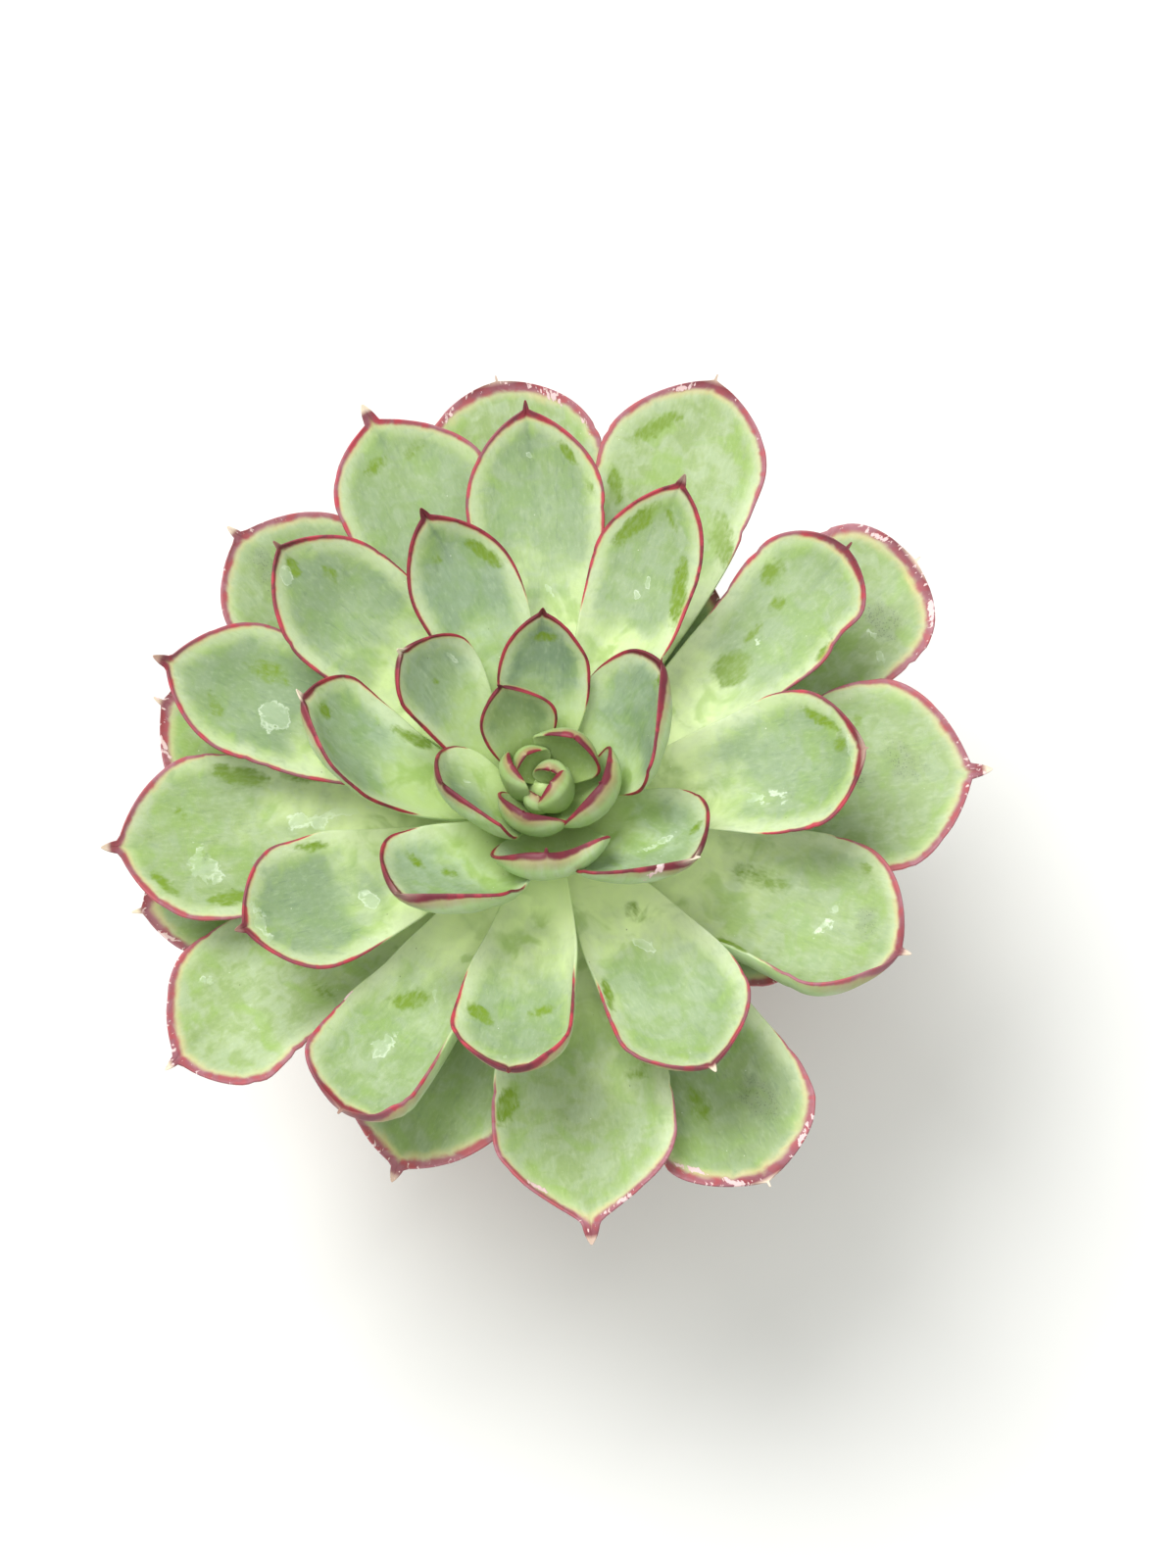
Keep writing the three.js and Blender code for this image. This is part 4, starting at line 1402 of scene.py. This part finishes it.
LEAVES = (
    Leaf(21, 82, 24, -8, -21),
    Leaf(20, 84, 27, -3, -4),
    Leaf(19, 84, 24, -6, -16),
    Leaf(18, 86, 22, 8, -12),
    Leaf(17, 87, 29, -3, -5, skew=-0.04),
    Leaf(16, 89, 28.5, 1, 5, skew=-0.09, fullest=0.84, shoulder=0.5),
    Leaf(15, 89, 27, -5, -7, skew=0.16, fullest=0.8),
    Leaf(14, 90, 27, -8, 2, skew=0.02, fullest=0.84),
    Leaf(13, 92, 31, 9, 2, skew=-0.06, fullest=0.8, shoulder=0.62),
    Leaf(12, 93, 25.5, -6, 2, skew=-0.3, fullest=0.8),
    Leaf(11, 95, 33, 0, 2, skew=0.06, fullest=0.76),
    Leaf(10, 96, 29, -2, -4, skew=-0.12, fullest=0.76),
    Leaf(9, 97, 30, -2, 2, skew=0.07, fullest=0.74, shoulder=1.15),
    Leaf(8, 100, 28.5, 10, 5, skew=0.1, fullest=0.78),
    Leaf(7, 100, 28, -6, -2, skew=-0.1, fullest=0.76),
    Leaf(6, 101, 29.5, 1, -6, curl=22, fullest=0.78),
    Leaf(5, 104, 26.5, 3, skew=-0.14, fullest=0.76),
    Leaf(4, 103, 22, -9, -7, skew=-0.06, curl=26, fullest=0.86, shoulder=0.5),
    Leaf(3, 106, 21.5, 10, -3, skew=-0.04, fullest=0.84, shoulder=0.55, dent=0.16),
    Leaf(2, 108, 23, -3, -1, skew=-0.14, fullest=0.72),
    Leaf(1, 106, 23.5, -4, -8, skew=0.06, fullest=0.76),
    Leaf(0, 111, 23, 10, 2, skew=0.03, fullest=0.72),
    Leaf(-1, 110, 22.5, -11, -4, skew=-0.1, fullest=0.74),
    Leaf(-2, 112, 23.5, 5, -3, skew=0.08, fullest=0.78),
    Leaf(-3, 116, 22.5, 3, 4, skew=-0.07, fullest=0.7),
    Leaf(-4, 115, 20.5, -10, 1, skew=-0.06, fullest=0.8, shoulder=0.6),
    Leaf(-5, 119, 18, 11, 7, skew=0.14, fullest=0.68),
    Leaf(-6, 118, 21, -27, -2, skew=0.22, curl=45, roll=25, fullest=0.76),
    Leaf(-7, 116, 26, -1, -9, skew=-0.2, curl=50, roll=-25, fullest=0.68),
    Leaf(-8, 121, 18, 8, 10, skew=-0.14, fullest=0.66),
    Leaf(-9, 119, 25.5, -21, skew=0.2, curl=56, roll=25, fullest=0.72),
    Leaf(-10, 120, 25, 17, -3, skew=-0.32, curl=52, roll=-30, fullest=0.62, shoulder=0.6),
    Leaf(-11, 121, 16.5, -19, 4, skew=-0.35, roll=10, fullest=0.75),
    Leaf(-12, 118, 20, -27, -7, skew=0.08, start=-10, end=144, curl=45, roll=10),
    Leaf(-13, 122, 15, 12, 6, skew=0.1, fullest=0.58),
    Leaf(-14, 119, 20, -24, 1, skew=0, end=82, roll=30, fullest=0.56, shoulder=0.9),
    Leaf(-15, 116.5, 16.5, -10, -3, facing=330, start=0, end=125, curl=55),
    Leaf(-16, 119, 13, -13, 5, skew=-0.28, curl=44, roll=-14, shoulder=0.9),
    Leaf(-17, 115, 13, -26, facing=246, start=30, end=110, curl=50),
)

HEART = (
    Leaf(-18, 115, 12, 2, 2, facing=64, start=40, end=105),
    Leaf(-19, 113.5, 8, -29, 2, facing=205, start=40, end=100),
    Leaf(-20, 112.5, 8.5, 0, -1, facing=325, start=25, end=135),
    Leaf(-21, 112, 7, 23, 4, facing=130, start=40, end=105),
    Leaf(-22, 110.5, 5.5, 0, 2, facing=241, start=30, end=120),
    Leaf(-23, 111.5, 6.5, 50, 2, facing=70, start=30, end=120),
)


def dress(piece: Object, finish: Material, slot: str, *nodes: str) -> None:
    """Gives a piece its finish and body, and hides the nodes that it stands for.

    Args:
        piece: the piece.
        finish: its material.
        slot: not used.
        nodes: the nodes that it replaces.
    """
    piece.data.materials.append(finish)
    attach(piece, BODY)
    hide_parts(*nodes)


@dataclass
class Rosette:
    """All the leaves and the closed heart."""

    old_from: int = 6  # the age from which a leaf has the old finish
    young_to: int = -6  # the age up to which it has the young one
    heart_rows: int = 36  # how many rows a leaf of the heart has

    def finishes(self) -> dict[str, Material]:
        """The three leaf materials by slot."""
        old = {"flesh": (143, 164, 104), "deep": (124, 145, 102), "margin": (168, 78, 84)}
        # The young leaves have a darker foot: painted shade for the deep crevices of the rosette's middle.
        young = {"flesh": (148, 170, 120), "base": (184, 206, 134), "deep": (108, 131, 108)}
        young |= {"veil": (190, 206, 178), "margin": (150, 46, 60)}
        kinds = (
            LeafFinish("leaf_old", **old, roughness=0.54),
            LeafFinish("leaf"),
            LeafFinish("leaf_young", **young),
        )
        return {kind.name: kind.material() for kind in kinds}

    def slot_of(self, age: int) -> str:
        """The slot of a leaf of some age."""
        if age >= self.old_from:
            return "leaf_old"
        return "leaf_young" if age <= self.young_to else "leaf"

    def build(self) -> None:
        """Makes every leaf and the heart."""
        finishes = self.finishes()
        for leaf in LEAVES:
            slot = self.slot_of(leaf.age)
            dress(leaf.skin().piece(leaf.name + "_blade"), finishes[slot], slot, leaf.name)
        skins = [leaf.skin(self.heart_rows) for leaf in HEART]
        bud = self.growing_point(skins[0].marks)
        for skin in skins:
            bud = skin.joined(bud)
        dress(bud.piece("heart_bud"), finishes["leaf_young"], "leaf_young", "heart")
        log.info("%d leaves, heart: %d faces", len(LEAVES), len(bud.faces))

    def growing_point(self, marks: dict[str, Array]) -> Skin:
        """The small dome that the heart's leaves grow from.

        Args:
            marks: the markings of one of them.

        Returns:
            The dome, with the same markings.
        """
        foot = GROWTH.height(HEART[0].age) - 1.2
        top = GROWTH.height(GROWTH.youngest) + 1
        radius = GROWTH.stem_radius(foot)
        turns = np.linspace(0, math.pi / 2, 8)[:-1]
        profile = [(radius * math.cos(t), foot + (top - foot) * math.sin(t)) for t in turns]
        dome = turned([(0.0, foot), *profile, (0.0, top)], 24)
        dome.points += [*GROWTH.axis(foot)[:2], 0]
        far_from_margin = {"rim": 5.0, "edge": 20.0, "upper": 1.0}
        dome.marks = {name: np.full(len(dome.points), far_from_margin.get(name, 0.0)) for name in marks}
        dome.marks["blade"] = dome.points / 10
        return dome


@dataclass
class Pot:
    """A plain clay pot with a collar and three drain holes."""

    height: float = 72  # how tall it is
    foot: float = 29  # its radius at the foot
    neck: float = 38  # its radius under the collar
    collar: float = 42  # the collar's radius
    collar_height: float = 17  # how tall the collar is
    wall: float = 4  # the wall's thickness
    floor: float = 5  # the floor's thickness
    edge: float = 1.2  # how far its edges are eased
    drain: float = 4  # the drain holes' radius
    drain_circle: float = 13  # how far they lie from the middle
    ring_depth: float = 0.09  # how deep the rings left by turning are
    wobble: float = 0.12  # how far it is out of round

    @property
    def inner_foot(self) -> float:
        """The inner radius at the floor."""
        slope = (self.neck - self.foot) / (self.height - self.collar_height)
        return self.foot + slope * self.floor - self.wall

    @property
    def inner_rim(self) -> float:
        """The inner radius at the rim."""
        return self.collar - self.wall - self.edge

    def profile(self, step: float = 2.2) -> list[Pair]:
        """The section of the pot with its edges eased.

        Args:
            step: about how long each of its pieces is at most.

        Returns:
            The profile.
        """
        shoulder = self.height - self.collar_height
        corners = [
            (0.0, 0.0),
            (self.foot, 0.0),
            (self.neck, shoulder),
            (self.collar - self.edge, shoulder),
            (self.collar - 0.3, shoulder + 0.6 * self.collar_height),
            (self.collar, self.height),
            (self.inner_rim, self.height),
            (self.inner_foot, self.floor),
            (0.0, self.floor),
        ]
        whole = rounded(corners, 1.6 * self.edge, 5)
        result = [whole[0]]
        for a, b in zip(whole, whole[1:]):
            count = max(1, round(math.dist(a, b) / step))
            result += [(mix(a[0], b[0], i / count), mix(a[1], b[1], i / count)) for i in range(1, count + 1)]
        return result

    def build(self) -> None:
        """Turns the pot, drills it and dresses it."""
        skin = turned(self.profile(), 144)
        x, y, z = skin.points.T
        radius, angle = np.hypot(x, y), np.arctan2(y, x)
        rings = self.ring_depth * np.sin(z * 2.1 + 0.6 * np.sin(angle * 2))
        wobble = self.wobble * np.sin(angle * 3 + 1) * z / self.height
        change = (np.abs(rings) + np.abs(wobble)) * ease(radius, self.foot - 3, self.foot)
        skin.points[:, :2] *= (1 - change / np.maximum(radius, 1))[:, None]
        lime = hump(z, 4, 30, 34, 58) * 0.55 + 0.62 * ease(z, self.height - 6, self.height)
        skin.marks = {"place": skin.points / 10, "lime": lime}
        piece = skin.piece("pot_clay")
        self.drill(piece)
        dress(piece, ClayFinish().material(), "terracotta", "pot")
        log.info("pot: %d faces", len(piece.data.polygons))

    def drill(self, piece: Object) -> None:
        """Cuts the drain holes.

        Args:
            piece: the turned pot.
        """
        bore = Skin(np.zeros((0, 3)), [])
        profile = [(0, -2), (self.drain, -2), (self.drain, self.floor + 3), (0, self.floor + 3)]
        for i in range(3):
            one = turned(profile, 32)
            one.points += self.drain_circle * heading(120 * i + 90)
            bore = bore.joined(one)
        tool = bore.piece("drain_bore")
        cut = piece.modifiers.new("drains", "BOOLEAN")
        cut.operation, cut.solver, cut.object = "DIFFERENCE", "EXACT", tool
        bpy.context.view_layer.update()
        graph = bpy.context.evaluated_depsgraph_get()
        drilled = bpy.data.meshes.new_from_object(piece.evaluated_get(graph))
        piece.modifiers.clear()
        piece.data = drilled
        bpy.data.objects.remove(tool, do_unlink=True)


@dataclass
class Soil:
    """The potting mix: a filled body with a crumbly top and loose grains on it."""

    top: float = 66  # how high it reaches
    hole: float = 7.8  # the radius of the stem's hole
    hole_depth: float = 16.3  # how deep the hole is
    gap: float = 0.3  # how far it stays from pot and stem
    crumbs: tuple[Pair, ...] = ((0.55, 9), (0.28, 3.4), (0.2, 1.7))  # height and length of its swells
    grains: int = 900  # how many loose grains lie on it
    pale: float = 0.16  # the share of them that is pale grit

    def build(self, pot: Pot) -> None:
        """Fills the pot.

        Args:
            pot: the pot that holds it.
        """
        rng = np.random.default_rng([SEED, 7])
        low = pot.floor + self.gap
        slope = (pot.inner_rim - pot.inner_foot) / (pot.height - pot.floor)
        rim = pot.inner_foot + slope * (self.top - pot.floor) - 0.9
        foot = pot.inner_foot - 0.4
        profile = [(0.0, low), (foot - 2, low), (foot, low + 2.5), (rim - 0.2, self.top - 2)]
        profile += [(float(r), self.top + 0.5) for r in np.linspace(rim - 0.6, self.hole, 46)]
        profile += [(self.hole, self.top - self.hole_depth), (0.0, self.top - self.hole_depth)]
        skin = turned(profile, 120)
        x, y, z = skin.points.T
        radius = np.hypot(x, y)
        crumbs = sum(height * ripple(x, y, rng, length) for height, length in self.crumbs)
        crumbs = crumbs * ease(radius, self.hole, self.hole + 2) - 0.4 * ease(radius, rim - 3, rim)
        skin.points[:, 2] += (z > self.top - 1) * crumbs
        skin.marks = {"place": skin.points / 10, "kind": np.zeros(len(skin.points))}
        skin = self.scattered(skin, rng, rim)
        dress(skin.piece("soil_mix"), SoilFinish().material(), "soil", "soil")
        log.info("soil: %d faces", len(skin.faces))

    def scattered(self, skin: Skin, rng: Rng, rim: float) -> Skin:
        """Adds the loose grains.

        Args:
            skin: the soil so far.
            rng: draws the grains.
            rim: the soil's outer radius.

        Returns:
            The soil with its grains.
        """
        points, faces, kinds = [skin.points], list(skin.faces), [skin.marks["kind"]]
        start = len(skin.points)
        ball = turned([(0, -1), (0.75, -0.66), (1.0, 0.0), (0.75, 0.66), (0, 1)], 7)
        for _ in range(self.grains):
            radius = math.sqrt(rng.uniform((self.hole + 1.5) ** 2, (rim - 1.6) ** 2))
            turn = rng.uniform(0, 2 * math.pi)
            pale = rng.uniform() < self.pale
            size = rng.uniform(0.35, 1.0) * (1.1 if pale else 1.25)
            shape = ball.points * rng.uniform(0.6, 1.0, 3) * [1.0 if pale else 1.5, 1, 0.7] * size
            shape = shape + rng.normal(0, 0.1 * size, shape.shape)
            spin = rng.uniform(0, math.pi)
            shape[:, :2] @= np.array([[math.cos(spin), math.sin(spin)], [-math.sin(spin), math.cos(spin)]])
            points.append(shape + [radius * math.cos(turn), radius * math.sin(turn), self.top + 0.75])
            faces += [tuple(i + start for i in f) for f in ball.faces]
            kinds.append(np.full(len(shape), 1.0 if pale else rng.choice([0.1, 0.6])))
            start += len(shape)
        every = np.concatenate(points)
        return Skin(every, faces, {"place": every / 10, "kind": np.concatenate(kinds)})


@dataclass
class Stem:
    """The short stem with the scars of the leaves that it has shed."""

    depth: float = 16  # how deep it stands in the soil
    scars: int = 9  # how many scars are on its bare part
    scar_step: float = 1.15  # how far each stands below the one before
    scar_size: Pair = (4.2, 1.1)  # half the width and half the height of each

    def build(self) -> None:
        """Grows the stem."""
        foot = GROWTH.soil - self.depth
        top = GROWTH.height(HEART[0].age) - 1.5
        profile = [(0.0, foot), (GROWTH.radius - 2, foot)]
        profile += [(GROWTH.stem_radius(h), h) for h in np.linspace(foot + 3, top, 72).tolist()]
        skin = turned([*profile, (0.0, top)], 56)
        x, y, z = skin.points.T
        radius, angle = np.hypot(x, y), np.degrees(np.arctan2(y, x))
        scar = np.zeros(len(z))
        for i in range(1, self.scars + 1):
            away = (angle - GROWTH.azimuth(GROWTH.oldest + i) + 180) % 360 - 180
            side = np.radians(away) * GROWTH.radius / self.scar_size[0]
            above = (z - GROWTH.lowest + i * self.scar_step) / self.scar_size[1]
            scar = np.maximum(scar, 1 - ease(np.hypot(side, above), 0.7, 1.0))
        rough = 0.18 * ripple(angle * 0.13, z, np.random.default_rng([SEED, 9]), 3.5)
        inward = np.clip(0.22 - 0.35 * scar - rough, 0, 0.6) * ease(radius, 1, 4)
        skin.points[:, :2] *= (1 - inward / np.maximum(radius, 1))[:, None]
        skin.points[:, :2] += [GROWTH.axis(height)[:2] for height in z]
        skin.marks = {"place": skin.points / 10, "scar": scar}
        dress(skin.piece("stem_bark"), StemFinish().material(), "stem", "stem")
        log.info("stem: %d faces", len(skin.faces))


@dataclass
class Studio:
    """The floor, the soft light and the camera."""

    distance: float = 450  # how far the camera is from the growing point
    elevation: float = 73  # how steeply it looks down
    lens: float = 66.7  # its focal length
    shift: Pair = (0.0269, -0.0031)  # how far the frame is moved
    apex: Triple = (3, -7, 113)  # the growing point's place
    floor_size: float = 3  # how far the floor reaches to each side, in metres
    aim: Triple = (0, 0, 0.08)  # where the lamps look, in metres
    sensor: float = 36  # the width of the camera's picture
    air: tuple[float, ...] = (0.97, 0.99, 0.98, 1.0)  # the colour of the light from all round
    air_strength: float = 0.58  # how strong that light is

    def build(self) -> None:
        """Sets up the whole studio."""
        self.camera()
        self.floor()
        self.light("key_softbox", (-0.4, 0.42, 1.2), 0.7, 17.5)
        self.light("fill_softbox", (0.1, -0.4, 1.3), 0.9, 6.0)
        world = bpy.data.worlds.new("studio_air")
        world.use_nodes = True
        air = world.node_tree.nodes["Background"]
        air.inputs["Color"].default_value = self.air
        air.inputs["Strength"].default_value = self.air_strength
        bpy.context.scene.world = world
        view = bpy.context.scene.view_settings
        view.view_transform, view.look = "Standard", "None"
        view.exposure, view.gamma = 0.0, 1.0

    def add(self, name: str, data: bpy.types.ID) -> Object:
        """Puts a new object into the scene."""
        thing = bpy.data.objects.new(name, data)
        bpy.context.scene.collection.objects.link(thing)
        return thing

    def camera(self) -> None:
        """Places the camera where the photograph was taken from."""
        data = bpy.data.cameras.new("camera")
        data.lens = self.lens
        data.sensor_width = self.sensor
        data.shift_x, data.shift_y = self.shift
        camera = self.add("camera", data)
        back = Vector(heading(-90, self.elevation))
        camera.location = (Vector(self.apex) + back * self.distance) * MM
        camera.rotation_euler = (-back).to_track_quat("-Z", "Y").to_euler()
        bpy.context.scene.camera = camera

    def floor(self) -> None:
        """Lays a pale plain floor."""
        mesh = bpy.data.meshes.new("floor")
        low, high = -self.floor_size, self.floor_size
        mesh.from_pydata([(low, low, 0), (high, low, 0), (high, high, 0), (low, high, 0)], [], [(0, 1, 2, 3)])
        floor = self.add("floor", mesh)
        material, art, shader = Finish("floor_paper").blank()
        tone = art.span(art.noise(art.node("TexCoord").outputs["Object"], 9.0, 2.0), 0.3, 0.7)
        art.feed(shader.inputs["Base Color"], art.blend(tone, (222, 222, 219), (226, 226, 223)))
        shader.inputs["Roughness"].default_value = 0.9
        mesh.materials.append(material)

    def light(self, name: str, place: Triple, size: float, power: float) -> None:
        """Hangs a soft lamp that looks at the plant.

        Args:
            name: the lamp's name.
            place: where it hangs, in metres.
            size: how wide it is, in metres.
            power: how strong it is, in watts.
        """
        data = bpy.data.lights.new(name, "AREA")
        data.size, data.energy = size, power
        lamp = self.add(name, data)
        lamp.location = place
        lamp.rotation_euler = (Vector(self.aim) - lamp.location).to_track_quat("-Z", "Y").to_euler()
        lamp.visible_camera = False


def corners(box: tuple[Vector, Vector]) -> list[list[float]]:
    """A box's two corners as plain lists."""
    return [list(corner) for corner in box]


def main() -> None:
    """Builds the plant, its pot and the studio."""
    logging.basicConfig(level=logging.INFO, format="%(name)s: %(message)s")
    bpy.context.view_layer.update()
    Studio().build()
    Rosette().build()
    pot = Pot()
    pot.build()
    Soil().build(pot)
    Stem().build()
    bpy.context.view_layer.update()


if __name__ == "__main__":
    main()
